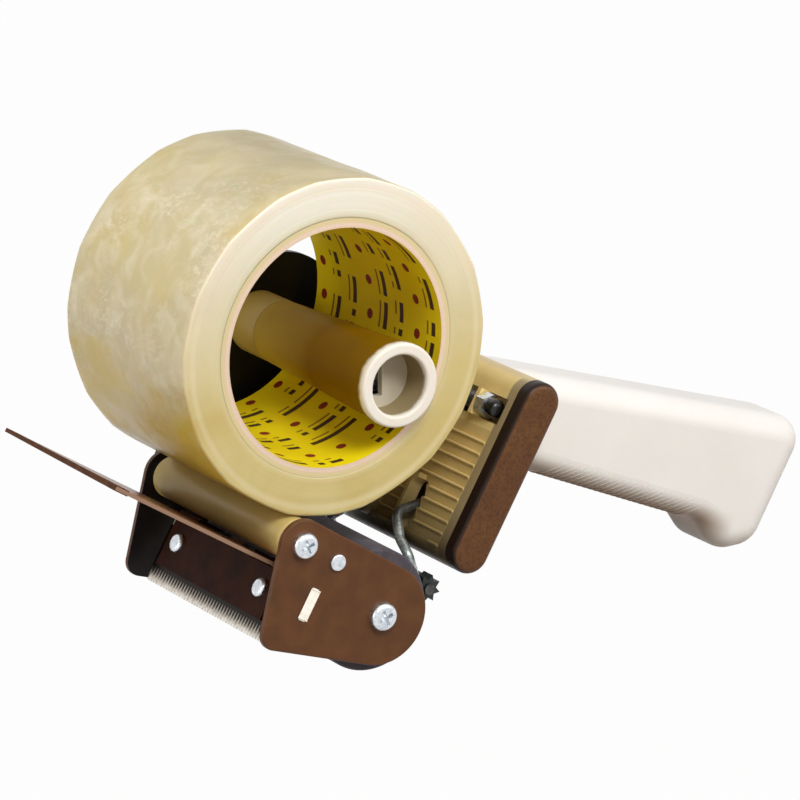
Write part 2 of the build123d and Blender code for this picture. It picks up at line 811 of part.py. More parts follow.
def keeper_arm(side):
    """Round bar from the spindle, down inside the housing, out of its slot and to the roller."""
    top_x, top_z = spot(face_frame, arm_top_along, arm_depth)
    exit_x, exit_z = spot(face_frame, arm_exit_along, arm_depth)
    elbow_x, elbow_z = spot(face_frame, *arm_elbow_on_face)
    bend_x, bend_z = spot(face_frame, *arm_bend_on_face)
    drop_x, drop_z = arm_drop_from_star
    points = [
        (spindle_x, side * arm_y, spindle_z),
        (top_x, side * arm_y, top_z),
        (exit_x, side * arm_y, exit_z),
        (elbow_x, side * (arm_y + arm_elbow_spread), elbow_z),
        (bend_x, side * (arm_spread_y - arm_bend_inset), bend_z),
        (star_x + drop_x, side * arm_spread_y, star_z + drop_z),
        (star_x, side * arm_spread_y, star_z),
    ]
    path = FilletPolyline(*points, radius=arm_bend_radii)
    start = Plane(points[0], z_dir=path % 0)
    bar = sweep(start * Circle(arm_radius), path=path)
    for x, z, y, radius in ((spindle_x, spindle_z, arm_y, arm_eye_radius),
                            (star_x, star_z, arm_spread_y, keeper_eye_radius)):
        bar += rod(x, z, radius, side * y - arm_eye_half, side * y + arm_eye_half)
    bar -= rod(spindle_x, spindle_z, spindle_radius + running_fit, -tape_width, tape_width)
    return bar - rod(star_x, star_z, keeper_shaft_radius, -tape_width, tape_width)


def keeper_arms():
    return group([keeper_arm(-1), keeper_arm(1)])


def keeper_shaft():
    """Shaft with a low head at each end, which keeps the roller's outer lengths on it."""
    half = star_half_length + end_play
    shaft = rod(star_x, star_z, keeper_shaft_radius, -half, half)
    for side in (-1, 1):
        low, high = sorted((side * half, side * (half + keeper_shaft_head_height)))
        shaft += rod(star_x, star_z, keeper_shaft_head_radius, low, high)
    return shaft


def star_roller():
    """Pointed flutes touch the sticky side only along lines; the arms part it into three."""
    corners = []
    for tooth in range(star_teeth):
        for radius, share in ((star_radius, 0.0), (star_root_radius, 0.5)):
            angle = 2 * math.pi / star_teeth * (tooth + share + 0.5)
            corners.append((radius * math.cos(angle), radius * math.sin(angle)))
    outline = Pos(star_x, star_z) * make_face(Polyline(*corners, close=True))
    outline -= disc(star_x, star_z, keeper_shaft_radius + running_fit)
    inner = arm_spread_y - arm_eye_half - end_play
    outer = arm_spread_y + arm_eye_half + end_play
    return group([slab(outline, -star_half_length, -outer), slab(outline, -inner, inner),
                  slab(outline, outer, star_half_length)])


# ---------- handle ----------

def handle_outline(inset):
    """Outline of the pistol grip; its front end reaches into the housing and is cut later."""
    front_x = handle_root_x - handle_lead
    front_top_z = handle_top_z - handle_slope * (front_x - handle_top_x)
    bar_end_z = handle_top_z - handle_slope * (handle_bar_end_x - handle_top_x)
    belly_slope = (pommel_neck_z - handle_root_z) / (pommel_neck_x - handle_root_x)
    front_low_z = handle_root_z - belly_slope * handle_lead
    foot = [(x, ground_at(face_x + x) - face_z) for x in (pommel_back_x, pommel_front_x)]
    corners = [(front_x, front_top_z), (handle_bar_end_x, bar_end_z), *foot,
               (pommel_neck_x, pommel_neck_z), (front_x, front_low_z)]
    radii = [handle_corner, handle_end_corner, pommel_corner, pommel_corner,
             pommel_neck_corner, handle_corner]
    outline = Pos(face_x, face_z) * make_face(FilletPolyline(*corners, radius=radii, close=True))
    return offset(outline, -inset) if inset else outline


def grip_blank(inset):
    """Rounded grip, made smaller all round by inset, before anything is cut from it."""
    half = handle_half_width - inset
    blank = slab(handle_outline(inset), -half, half)
    rims = blank.edges().group_by(Axis.Y)
    return fillet(rims[0] + rims[-1], handle_edge - inset)


def ahead_of(depth):
    """All the space in front of a plane that lies depth behind the housing's face."""
    return block(face_frame, -150.0, 150.0, -depth, 150.0, -60.0, 60.0)


def grip_shell():
    """Hollow grip whose closed front end hugs the back of the housing."""
    back = 2 * housing_radius
    shell = grip_blank(0) - ahead_of(housing_radius) - slab(bar_outline(0), -60.0, 60.0)
    return shell - (grip_blank(handle_wall) - ahead_of(back + handle_wall))


def mount_screw_spots():
    """Along and Y places of the screws that hold the handle on the housing."""
    return [(along, side * mount_screw_y) for along in mount_screw_along for side in (-1, 1)]


def mount_pin(along, y, radius, start, length):
    """Cylinder that runs back into the handle from start behind the housing's face."""
    return pin(leaning(face_frame, along, -start, y, -1), radius, length)


def handle_half(side):
    """One half of the grip with its bosses; the far one (side 1) takes the screw heads."""
    back = 2 * housing_radius
    low, high = sorted((0.0, side * (handle_half_width - handle_wall / 2)))
    span = sorted((0.0, side * 60.0))
    half = grip_shell() & block(face_frame, -200.0, 200.0, -200.0, 200.0, *span)
    solid = grip_blank(0)
    for x, z in handle_screw_places:
        half += rod(x, z, handle_boss_radius, low, high) & solid
    for along, y in mount_screw_spots():
        if y * side > 0:
            half += mount_pin(along, y, handle_boss_radius, back, mount_boss_length) & solid
            half -= mount_pin(along, y, handle_screw_radius, back, mount_screw_length)
    bore = handle_screw_radius + (bolt_fit if side > 0 else 0.0)
    end = handle_screw_seat if side > 0 else handle_screw_grip
    for x, z in handle_screw_places:
        half -= rod(x, z, bore, *sorted((0.0, side * end)))
        if side > 0:
            half -= rod(x, z, handle_screw_head_radius + bolt_fit, handle_screw_seat, 60.0)
    return half


def handle_screws():
    length = handle_screw_seat + handle_screw_grip
    return group([pan_screw(along_y(x, handle_screw_seat, z, 1), handle_screw_head_radius,
                            handle_screw_head_height, handle_screw_radius, length)
                  for x, z in handle_screw_places])


def mount_screws():
    """Screws inside the housing whose tips go back into the handle's bosses."""
    seat = 2 * housing_radius - housing_wall
    return group([pan_screw(leaning(face_frame, along, -seat, y, 1), handle_screw_head_radius,
                            handle_screw_head_height, handle_screw_radius,
                            housing_wall + mount_screw_length)
                  for along, y in mount_screw_spots()])


# ---------- the whole tool ----------

def all_pieces():
    return {
        "frame_plate": frame_plate(),
        "head_plate_near": head_plate(-1),
        "head_plate_far": head_plate(1),
        "tie_rod": tie_rod(),
        "tie_bar": tie_bar(),
        "cross_plate": cross_plate(),
        "cutter_blade": cutter_blade(),
        "blade_spacers": blade_spacers(),
        "blade_rivets": blade_rivets(),
        "flap_hinge_pin": hinge_pin(),
        "wiper_flap": wiper_flap(),
        "flap_lip": flap_lip(),
        "flap_springs": flap_springs(),
        "guide_axle": axle(guide_x, guide_z, guide_axle_radius),
        "guide_screws": axle_screws(guide_x, guide_z, guide_screw_head_radius),
        "guide_washers": guide_washers(),
        "guide_roller": guide_roller(),
        "press_axle": axle(press_x, press_z, press_axle_radius),
        "press_screws": axle_screws(press_x, press_z, press_screw_head_radius),
        "press_core": press_core(),
        "press_tyre": press_tyre(),
        "hub_bolt": hub_bolt(),
        "hub_base": hub_base(),
        "hub_sleeve": hub_sleeve(),
        "hub_cap": hub_cap(),
        "hub_washer": hub_washer(),
        "hub_nut": hub_nut(),
        "tape_film": tape_film(),
        "tape_core": tape_core(),
        "core_liner": core_liner(),
        "housing": housing(),
        "trim_near": trim(-1),
        "trim_far": trim(1),
        "housing_screws": housing_screws(),
        "adjuster_spindle": adjuster_spindle(),
        "adjuster_knob": adjuster_knob(),
        "adjuster_nuts": adjuster_nuts(),
        "keeper_springs": keeper_springs(),
        "keeper_arms": keeper_arms(),
        "keeper_shaft": keeper_shaft(),
        "star_roller": star_roller(),
        "handle_near": handle_half(-1),
        "handle_far": handle_half(1),
        "handle_screws": handle_screws(),
        "mount_screws": mount_screws(),
    }


def standing(pieces):
    """The same pieces, turned onto the ground, with the bottom centre of the tool as the origin."""
    turned = {name: Rot(0, standing_tilt, 0) * piece for name, piece in pieces.items()}
    boxes = [piece.bounding_box() for piece in turned.values()]
    middle_x = (min(box.min.X for box in boxes) + max(box.max.X for box in boxes)) / 2
    middle_y = (min(box.min.Y for box in boxes) + max(box.max.Y for box in boxes)) / 2
    bottom = min(box.min.Z for box in boxes)
    print("origin is at x", middle_x, "y", middle_y, "z", bottom, "of the turned working frame")
    return {name: Pos(-middle_x, -middle_y, -bottom) * piece for name, piece in turned.items()}


os.makedirs("parts", exist_ok=True)
for name, piece in standing(all_pieces()).items():
    export_step(piece, f"parts/{name}.step")
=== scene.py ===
# %% [markdown]
# # A packing-tape dispenser, finished in Blender
#
# The metal and plastic pieces come from a CAD model that is already exact, so this lesson is
# about everything the CAD file leaves out: light, a camera, finishes with grain and wear, and
# the few pieces whose real shape is too fine for CAD, such as wound film and coil springs.
# Every length is in metres, and every piece stays where the CAD model says.

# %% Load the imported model
import bpy
import bmesh
import json
import math
import random
from mathutils import Matrix, Vector


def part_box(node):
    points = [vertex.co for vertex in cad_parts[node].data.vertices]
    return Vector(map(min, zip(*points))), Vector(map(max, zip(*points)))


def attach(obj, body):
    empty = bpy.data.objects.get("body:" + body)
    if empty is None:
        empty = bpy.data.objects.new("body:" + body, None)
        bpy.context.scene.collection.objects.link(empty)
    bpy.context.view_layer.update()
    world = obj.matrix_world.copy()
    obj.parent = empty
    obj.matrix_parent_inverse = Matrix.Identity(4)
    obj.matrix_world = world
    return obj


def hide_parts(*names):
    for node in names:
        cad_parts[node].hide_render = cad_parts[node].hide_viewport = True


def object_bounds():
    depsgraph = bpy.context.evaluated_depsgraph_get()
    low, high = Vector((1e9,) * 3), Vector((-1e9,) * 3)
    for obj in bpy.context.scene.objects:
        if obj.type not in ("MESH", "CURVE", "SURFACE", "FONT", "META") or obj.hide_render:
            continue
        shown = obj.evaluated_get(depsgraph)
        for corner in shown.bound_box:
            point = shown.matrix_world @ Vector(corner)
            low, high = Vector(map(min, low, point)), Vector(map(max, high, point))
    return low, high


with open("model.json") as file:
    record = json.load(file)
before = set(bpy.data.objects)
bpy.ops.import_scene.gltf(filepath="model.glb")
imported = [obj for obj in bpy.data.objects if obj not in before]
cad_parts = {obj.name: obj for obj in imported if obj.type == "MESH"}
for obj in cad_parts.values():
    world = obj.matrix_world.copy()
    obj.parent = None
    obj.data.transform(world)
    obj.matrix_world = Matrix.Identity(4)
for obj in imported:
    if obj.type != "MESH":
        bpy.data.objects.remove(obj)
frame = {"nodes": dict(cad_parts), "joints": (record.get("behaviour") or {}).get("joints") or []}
cad_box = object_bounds()
nodes = frame["nodes"]
axis_at = {joint["name"]: Vector(joint["pos_m"]) for joint in frame["joints"]}
MM = 0.001
TO_FAR = Vector((0, 1, 0))

# %% [markdown]
# ## Nodes and objects
#
# Blender's world, its materials and Geometry Nodes are all trees of nodes. Making a node always
# takes the same steps: add it, choose its settings, and fill its inputs with numbers or with
# other nodes' outputs. One helper does this for every tree below, and a second one puts a lamp,
# a camera or a mesh in the scene.

# %% Two helpers
def new_node(tree, kind, settings=None, slots=None, **inputs):
    """A node with inputs filled by name, with underscores for spaces, or by slot number.

    An input takes a number, another node's output, or a node, for the node's first output.
    """
    node = tree.nodes.new(kind)
    for label, value in (settings or {}).items():
        setattr(node, label, value)
    named = {label.replace("_", " "): value for label, value in inputs.items()}
    for label, value in {**named, **(slots or {})}.items():
        if isinstance(value, bpy.types.Node):
            value = value.outputs[0]
        if isinstance(value, bpy.types.NodeSocket):
            tree.links.new(value, node.inputs[label])
        elif value is not None:
            node.inputs[label].default_value = value
    return node


def in_scene(name, data):
    """An object for new data, linked into the scene."""
    thing = bpy.data.objects.new(name, data)
    bpy.context.scene.collection.objects.link(thing)
    return thing


# %% [markdown]
# ## Floor, backdrop and camera
#
# The tool stands on a floor that fades into a white room. The trick is the Light Path node:
# rays that come from the camera, from a shiny surface or through film see pure white, while
# the light that falls on the tool stays at a plain, moderate level.

# %% White world
ROOM_LIGHT = 0.34
ROOM_TINT = (1.0, 0.985, 0.965, 1.0)
WHITE = (1.0, 1.0, 1.0, 1.0)


def seen_white(tree):
    """1 for rays from the camera, a shiny surface or film, and 0 for every other kind."""
    path = new_node(tree, "ShaderNodeLightPath").outputs
    total = path["Is Camera Ray"]
    for name in ("Is Glossy Ray", "Is Transmission Ray"):
        total = new_node(tree, "ShaderNodeMath", {"operation": "MAXIMUM"},
                         {0: total, 1: path[name]})
    return total


world = bpy.data.worlds.new("white_room")
bpy.context.scene.world = world
world.use_nodes = True
room = world.node_tree
room.nodes.clear()
room_soft = new_node(room, "ShaderNodeBackground", Color=ROOM_TINT, Strength=ROOM_LIGHT)
room_white = new_node(room, "ShaderNodeBackground", Color=WHITE, Strength=1.0)
room_mix = new_node(room, "ShaderNodeMixShader", slots={
    0: seen_white(room), 1: room_soft, 2: room_white})
new_node(room, "ShaderNodeOutputWorld", Surface=room_mix)
print("room light", ROOM_LIGHT)

# %% Pale floor
FLOOR_HALF = 3.0
FLOOR_DROP = 0.2 * MM
FLOOR_GLOW = 0.98
floor_mesh = bpy.data.meshes.new("floor")
floor_mesh.from_pydata([(right * FLOOR_HALF, back * FLOOR_HALF, 0)
                        for right, back in ((-1, -1), (1, -1), (1, 1), (-1, 1))],
                       [], [(0, 1, 2, 3)])
floor = in_scene("floor", floor_mesh)
floor.location.z = -FLOOR_DROP
paper_sweep = bpy.data.materials.new("paper_sweep")
paper_sweep.use_nodes = True
sweep = paper_sweep.node_tree
matte = sweep.nodes["Principled BSDF"]
matte.inputs["Base Color"].default_value = (0.25, 0.2, 0.15, 1.0)
matte.inputs["Roughness"].default_value = 0.9
glow = new_node(sweep, "ShaderNodeEmission", Strength=1.0)
dimmed = new_node(sweep, "ShaderNodeMath", {"operation": "MULTIPLY"},
                  {0: seen_white(sweep), 1: FLOOR_GLOW})
sweep_mix = new_node(sweep, "ShaderNodeMixShader", slots={
    0: dimmed, 1: matte, 2: glow})
sweep.links.new(sweep_mix.outputs[0], sweep.nodes["Material Output"].inputs["Surface"])
floor_mesh.materials.append(paper_sweep)
print("floor", 2 * FLOOR_HALF, "m square")

# %% Camera
CAMERA_TURN = math.radians(-31.55)
CAMERA_RISE = math.radians(16.3)
CAMERA_AWAY = 1.573
LENS_MM = 225.0
SENSOR_MM = 36.0
VIEW_END = 20.0
AIM_RIGHT = 39.39 * MM
AIM_DOWN = 25.01 * MM
TOOL_LEAN = math.radians(2.28)
lean = Matrix.Rotation(TOOL_LEAN, 3, "Y")
camera_right = lean @ Vector((math.cos(CAMERA_TURN), math.sin(CAMERA_TURN), 0))
camera_back = lean @ Vector((math.sin(CAMERA_TURN) * math.cos(CAMERA_RISE),
                             -math.cos(CAMERA_TURN) * math.cos(CAMERA_RISE),
                             math.sin(CAMERA_RISE)))
camera_up = camera_back.cross(camera_right)
lens = bpy.data.cameras.new("studio_camera")
lens.lens = LENS_MM
lens.sensor_width = SENSOR_MM
lens.clip_end = VIEW_END
camera = in_scene("studio_camera", lens)
roll_at = axis_at["roll_spin"]
aim = roll_at + camera_right * AIM_RIGHT - camera_up * AIM_DOWN
camera_turned = Matrix((camera_right, camera_up, camera_back)).transposed().to_4x4()
camera.matrix_world = Matrix.Translation(aim + camera_back * CAMERA_AWAY) @ camera_turned
bpy.context.scene.camera = camera
bpy.context.scene.view_settings.view_transform = "Standard"
print("camera", round(CAMERA_AWAY, 3), "m from the tool")

# %% [markdown]
# ## Studio light
#
# A studio lights a tool like this with one broad lamp over the camera and weaker ones from both
# sides and from behind. Sun-like lamps would cut hard shadows into the roll, so all four lamps
# are large squares, and the white room fills in what they leave dark.

# %% Four soft lamps
def soft_lamp(name, away, width, watts, colour):
    """A square lamp, placed along the camera's own right, up and back, that faces the tool."""
    data = bpy.data.lights.new(name, "AREA")
    data.size = width
    data.energy = watts
    data.color = colour
    lamp = in_scene(name, data)
    middle = (cad_box[0] + cad_box[1]) / 2
    lamp.location = middle + camera_right * away[0] + camera_up * away[1] + camera_back * away[2]
    lamp.rotation_euler = (middle - lamp.location).to_track_quat("-Z", "Y").to_euler()
    print(name, watts, "W")


soft_lamp("front_lamp", (0.25, 0.57, 0.88), 0.42, 7.1, (1.0, 0.985, 0.955))
soft_lamp("side_lamp", (0.90, 0.30, 0.50), 0.40, 3.6, (1.0, 0.99, 0.98))
soft_lamp("left_lamp", (-0.95, 0.08, 0.62), 0.50, 3.6, (1.0, 0.965, 0.91))
soft_lamp("back_lamp", (-0.35, 0.05, -0.92), 0.50, 1.8, (1.0, 0.98, 0.96))

# %% [markdown]
# ## How the finishes are built
#
# Every finish is a small node tree: noise in Object coordinates for colour and roughness, and a
# fine bump for grain. Noise works at any distance, where a painted image would blur close up.
# One helper class keeps each recipe short. It starts with a plain colour and lays others over
# it, each given as red, green and blue from 0 to 255, and a value that is the same all over a
# piece is set straight on the shader.

# %% Colours
def paint(colour):
    """Red, green and blue from 0 to 255 in a shader's own numbers; an output stays as it is."""
    def one(value):
        value = value / 255
        return value / 12.92 if value <= 0.04045 else ((value + 0.055) / 1.055) ** 2.4
    return (*map(one, colour), 1.0) if isinstance(colour, tuple) else colour


# %% A helper for finishes
class Finish:
    """A material under construction, with short ways to add texture to it."""

    def __init__(self, name, colour, roughness, **sockets):
        self.material = bpy.data.materials.new(name)
        self.material.use_nodes = True
        self.tree = self.material.node_tree
        self.sockets = self.tree.nodes["Principled BSDF"].inputs
        self.places = new_node(self.tree, "ShaderNodeTexCoord").outputs["Object"]
        self.skin = colour
        self.even(Base_Color=paint(colour), Roughness=roughness, **sockets)

    def even(self, **sockets):
        """Sets what is the same all over the surface."""
        for socket, value in sockets.items():
            self.sockets[socket.replace("_", " ")].default_value = value

    def noise(self, size, detail=4.0, stretch=(1, 1, 1), warp=0.0, vector=None):
        """Noise whose blotches are about size metres across."""
        mapping = new_node(self.tree, "ShaderNodeMapping", Scale=stretch,
                           Vector=vector or self.places)
        return new_node(self.tree, "ShaderNodeTexNoise", Scale=1 / size, Detail=detail,
                        Distortion=warp, Vector=mapping).outputs["Fac"]

    def ranged(self, value, low, high, to_low=0.0, to_high=1.0):
        """The value, with low to high spread over to_low to to_high and held at both ends."""
        return new_node(self.tree, "ShaderNodeMapRange", Value=value, From_Min=low, From_Max=high,
                        To_Min=to_low, To_Max=to_high).outputs["Result"]

    def cloud(self, size, detail, low, high, to_low=0.0, to_high=1.0, **options):
        """Noise that is to_low where it is under low, and rises to to_high at high."""
        return self.ranged(self.noise(size, detail, **options), low, high, to_low, to_high)

    def maths(self, operation, first, second=None):
        """One step of arithmetic on numbers or other nodes' outputs."""
        return new_node(self.tree, "ShaderNodeMath", {"operation": operation},
                        {0: first, 1: second}).outputs[0]

    def off(self, value, middle):
        """How far a value is from a middle, on either side."""
        return self.maths("ABSOLUTE", self.maths("SUBTRACT", value, middle))

    def diagonal(self, first, second):
        """The length of a step of first one way and second square to it."""
        return self.maths("SQRT", self.maths("ADD", self.maths("MULTIPLY", first, first),
                                             self.maths("MULTIPLY", second, second)))

    def along(self, direction, start=0.0):
        """How far each point lies along a direction, past a start, in metres."""
        dot = new_node(self.tree, "ShaderNodeVectorMath", {"operation": "DOT_PRODUCT"},
                       {0: self.places, 1: tuple(direction)}).outputs["Value"]
        return self.maths("SUBTRACT", dot, start)

    def blended(self, amount, first, second):
        """A colour between two, each a colour or another node's output."""
        return new_node(self.tree, "ShaderNodeMix", {"data_type": "RGBA"},
                        {6: paint(first), 7: paint(second)}, Factor=amount).outputs[2]

    def cover(self, amount, colour):
        """Lays a colour over the present one, by an amount from 0 to 1."""
        self.skin = self.blended(amount, self.skin, colour)
        self.tree.links.new(self.skin, self.sockets["Base Color"])

    def roughened(self, value):
        """Takes an output as the roughness."""
        self.tree.links.new(value, self.sockets["Roughness"])

    def bumped(self, height, depth, strength):
        """Height from 0 to 1 becomes relief of depth metres."""
        bump = new_node(self.tree, "ShaderNodeBump", Strength=strength, Distance=depth,
                        Height=height)
        self.tree.links.new(bump.outputs["Normal"], self.sockets["Normal"])

    def on(self, *names):
        """Puts the finish on CAD nodes."""
        for name in names:
            materials = nodes[name].data.materials
            materials.clear()
            materials.append(self.material)
        print(self.material.name, "on", ", ".join(names))


# %% [markdown]
# ## Enamel on the steel plates
#
# The frame plate and the two side plates of the head are sheet steel with baked enamel. Enamel is
# never quite flat: it pools into a faint orange-peel skin and its tone drifts over a few
# millimetres. A thin clear coat on the shader gives the soft highlight of baked paint.

# %% Enamel
def enamel(name, colour, darker, roughness, coat):
    """Baked paint on sheet steel: nearly even, with a faint orange-peel skin and fine specks."""
    finish = Finish(name, colour, roughness, Coat_Weight=coat, Coat_Roughness=0.3,
                    Specular_IOR_Level=0.22)
    finish.cover(finish.cloud(8 * MM, 6.0, 0.35, 0.7), darker)
    finish.cover(finish.cloud(0.35 * MM, 2.0, 0.6, 0.72, 0.0, 0.55), darker)
    finish.roughened(finish.cloud(1.2 * MM, 4.0, 0.3, 0.7, roughness - 0.06, roughness + 0.08))
    finish.bumped(finish.noise(0.7 * MM, 2.0), 0.02 * MM, 0.6)
    return finish


HEAD_BROWN = ((101, 63, 34), (84, 52, 28))
enamel("brown_enamel", *HEAD_BROWN, 0.45, 0.04).on("head_plate_near")
enamel("black_enamel", (20, 19, 19), (12, 11, 11), 0.4, 0.05).on("frame_plate")
red_brown_enamel = enamel("red_brown_enamel", (54, 24, 10), (33, 15, 7), 0.42, 0.0)
red_brown_enamel.even(Specular_IOR_Level=0.05)
red_brown_enamel.on("cross_plate")

# %% The far plate is brown outside, and painted shade makes its inner face nearly black
INNER_SKIN = 0.2 * MM
far_enamel = enamel("far_enamel", *HEAD_BROWN, 0.45, 0.04)
from_inside = far_enamel.along(TO_FAR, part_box("head_plate_far")[0].y)
# Painted shade: the plate's inner face turns nearly black.
inner_face_shade = far_enamel.ranged(from_inside, INNER_SKIN, 2 * INNER_SKIN, 1.0, 0.0)
far_enamel.cover(inner_face_shade, (26, 18, 15))
far_enamel.on("head_plate_far")

# %% [markdown]
# ## Bright zinc
#
# Screws, nuts, pins and the wire arms are zinc plated: bluish white metal that is cloudy rather
# than mirror bright. A fully metallic shader with uneven roughness does this, and a little bump
# breaks up the reflections the way tumbling in the plating barrel does. The arms are duller, and
# painted shade darkens them where they enter the housing.

# %% Plated and bare metal
def plated(name, colour, duller, roughness, blotch=1.6 * MM, detail=6.0):
    """Plated metal: cloudy, with fine rubbing marks in no one direction."""
    finish = Finish(name, colour, roughness, Metallic=1.0)
    finish.cover(finish.cloud(blotch, detail, 0.35, 0.7, warp=1.0), duller)
    finish.roughened(finish.cloud(0.8 * MM, 5.0, 0.3, 0.7, roughness - 0.08, roughness + 0.12))
    finish.bumped(finish.noise(0.25 * MM, 3.0), 0.01 * MM, 0.6)
    return finish


HOLE_SHADE_STARTS = 36.0 * MM
HOLE_SHADE_FULL = 42.0 * MM
plated("bright_zinc", (232, 235, 238), (190, 198, 206), 0.3).on(
    "tie_rod", "blade_spacers", "blade_rivets", "flap_hinge_pin", "guide_axle", "guide_screws",
    "guide_washers", "press_axle", "press_screws", "hub_bolt", "hub_washer", "hub_nut",
    "housing_screws", "adjuster_spindle", "adjuster_nuts", "handle_screws", "mount_screws")
wire_steel = plated("wire_steel", (214, 224, 222), (132, 142, 142), 0.34)
wire_steel.even(Metallic=0.6)
# Painted shade: the arms turn dark where they enter the housing's holes.
hole_shade = wire_steel.ranged(wire_steel.along((0, 0, 1)), HOLE_SHADE_STARTS, HOLE_SHADE_FULL)
wire_steel.cover(hole_shade, (58, 55, 48))
wire_steel.on("keeper_arms")
bar_steel = plated("bar_steel", (246, 240, 228), (230, 222, 208), 0.55)
bar_steel.on("tie_bar")

# %% [markdown]
# ## The cutting blade
#
# The blade is a hardened strip. Painted highlight and shade give each flat tooth a bright ridge
# with darker flanks, and painted shade darkens the strip behind the teeth. The finish measures how
# far each point lies along the teeth and across its own tooth, and lays two darker tones by those
# numbers.

# %% Blade
STACK_LEAN = math.radians(60.0)
TOOTH_COUNT = 44
TOOTH_BRIGHT = 0.8 * MM
TOOTH_DARK = 5.0 * MM
RIDGE_EDGE = 0.12
FLANK_EDGE = 0.3
stack_up = lean @ Vector((math.cos(STACK_LEAN), 0, math.sin(STACK_LEAN)))
tooth_tips = min(vertex.co.dot(stack_up) for vertex in nodes["cutter_blade"].data.vertices)
blade_low, blade_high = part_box("cutter_blade")
tooth_pitch = (blade_high.y - blade_low.y) / TOOTH_COUNT
blade = plated("blade_steel", (236, 228, 216), (190, 182, 170), 0.3, 1.4 * MM, 5.0)
teeth = blade.maths("DIVIDE", blade.along(TO_FAR, blade_low.y), tooth_pitch)
from_ridge = blade.off(blade.maths("FRACT", teeth), 0.5)
# Painted highlight on each tooth's ridge and painted shade on its flanks.
blade.cover(blade.ranged(from_ridge, RIDGE_EDGE, FLANK_EDGE), (104, 92, 80))
# Painted shade on the strip behind the teeth.
from_tips = blade.along(stack_up, tooth_tips)
blade.cover(blade.ranged(from_tips, TOOTH_BRIGHT, TOOTH_DARK), (38, 32, 29))
blade.on("cutter_blade")

# %% [markdown]
# ## Moulded plastics
#
# The grip, the housing, the rollers and the knob are moulded. Moulded plastic drifts a little in
# tone and has a skin that is finer than enamel. Light enters the pale kinds, so they get a small
# share of subsurface scattering, which softens the edges of shadows on them.

# %% Plastics
def moulded(name, colour, other, roughness, grain=0.5 * MM, depth=0.01 * MM, **sockets):
    """Moulded plastic: a little uneven in tone, with a finely grained skin."""
    finish = Finish(name, colour, roughness, **{"Specular_IOR_Level": 0.35, **sockets})
    finish.cover(finish.cloud(22 * MM, 3.0, 0.3, 0.72), other)
    finish.roughened(finish.cloud(3 * MM, 4.0, 0.3, 0.7, roughness - 0.05, roughness + 0.07))
    finish.bumped(finish.noise(grain, 2.0), depth, 0.7)
    return finish


LIT_INSIDE = {"Subsurface_Weight": 0.1, "Subsurface_Scale": 0.003}
grip = moulded("handle_cream", (243, 240, 237), (238, 235, 231), 0.48,
               depth=0.012 * MM, Subsurface_Weight=0.08, Subsurface_Scale=0.003)
grip.on("handle_near", "handle_far")
moulded("roller_tan", (206, 184, 118), (196, 172, 106), 0.36, **LIT_INSIDE).on(
    "guide_roller", "press_core")
moulded("hub_shade", (224, 217, 200), (212, 203, 184), 0.5).on("hub_cap")
moulded("knob_black", (16, 15, 16), (10, 9, 10), 0.24, 0.6 * MM, 0.004 * MM,
        Coat_Weight=0.15).on("adjuster_knob")
moulded("star_dark", (58, 64, 58), (40, 46, 42), 0.42, depth=0.015 * MM).on("star_roller")

# %% [markdown]
# ## The housing
#
# The housing leans as the blade does. Painted light makes its ribbed face paler, painted shade
# darkens the smooth margin beside the ribs, and painted shade darkens its low end. The finish
# measures each point's place along the face, out from it and across it, and mixes four tones.

# %% Housing
FACE_OUT = -70.7 * MM
FACE_ALONG = -16.3 * MM
FACE_DEEP = 3.0 * MM
RIB_TOP = 13.8 * MM
RIB_PITCH = 3.97 * MM
RIB_STEPS = 10
RIB_HALF = 32.5 * MM
MARGIN_FADE = 0.6 * MM
LOW_SHADE_STARTS = -12.0 * MM
LOW_SHADE_FULL = -29.0 * MM
grip_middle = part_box("handle_near")[1].y
face_out = lean @ Vector((-math.sin(STACK_LEAN), 0, math.cos(STACK_LEAN)))
shell = moulded("housing_olive", (212, 192, 148), (200, 178, 132), 0.44,
                0.4 * MM, 0.015 * MM)
# Painted light: the ribbed face is lighter than the rest of the housing.
face_light = shell.blended(shell.cloud(12 * MM, 4.0, 0.3, 0.7), (234, 208, 142), (220, 193, 126))
across_face = shell.off(shell.along(TO_FAR), grip_middle)
# Painted shade on the smooth margin beside the ribs.
margin_shade = shell.ranged(across_face, RIB_HALF, RIB_HALF + MARGIN_FADE)
face_light_and_shade = shell.blended(margin_shade, face_light, (158, 139, 102))
from_face = shell.along(face_out, roll_at.dot(face_out) + FACE_OUT)
shell.cover(shell.ranged(from_face, -FACE_DEEP, -FACE_DEEP / 2), face_light_and_shade)
# Painted shade towards the housing's low end.
up_face = shell.along(stack_up, roll_at.dot(stack_up) + FACE_ALONG)
shell.cover(shell.ranged(up_face, LOW_SHADE_FULL, LOW_SHADE_STARTS, 0.9, 0.0), (70, 56, 36))
shell.on("housing")

# %% [markdown]
# ## Flap
#
# The flap that wipes the film down is a brown plastic sheet. Its sides were sheared, and a painted
# highlight turns the finish lighter in a thin band at both sides.

# %% Flap sheet
LIT_EDGE = 0.25 * MM
flap_low, flap_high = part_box("wiper_flap")
flap_half = (flap_high.y - flap_low.y) / 2
flap_brown = moulded("flap_brown", (150, 100, 66), (120, 78, 50), 0.34,
                     0.6 * MM, 0.01 * MM, Coat_Weight=0.1)
to_side = flap_brown.off(flap_brown.along(TO_FAR), (flap_low.y + flap_high.y) / 2)
# Painted highlight along both sheared sides.
edge_highlight = flap_brown.ranged(to_side, flap_half - 2 * LIT_EDGE, flap_half - LIT_EDGE)
flap_brown.cover(edge_highlight, (152, 120, 98))
flap_brown.on("wiper_flap")
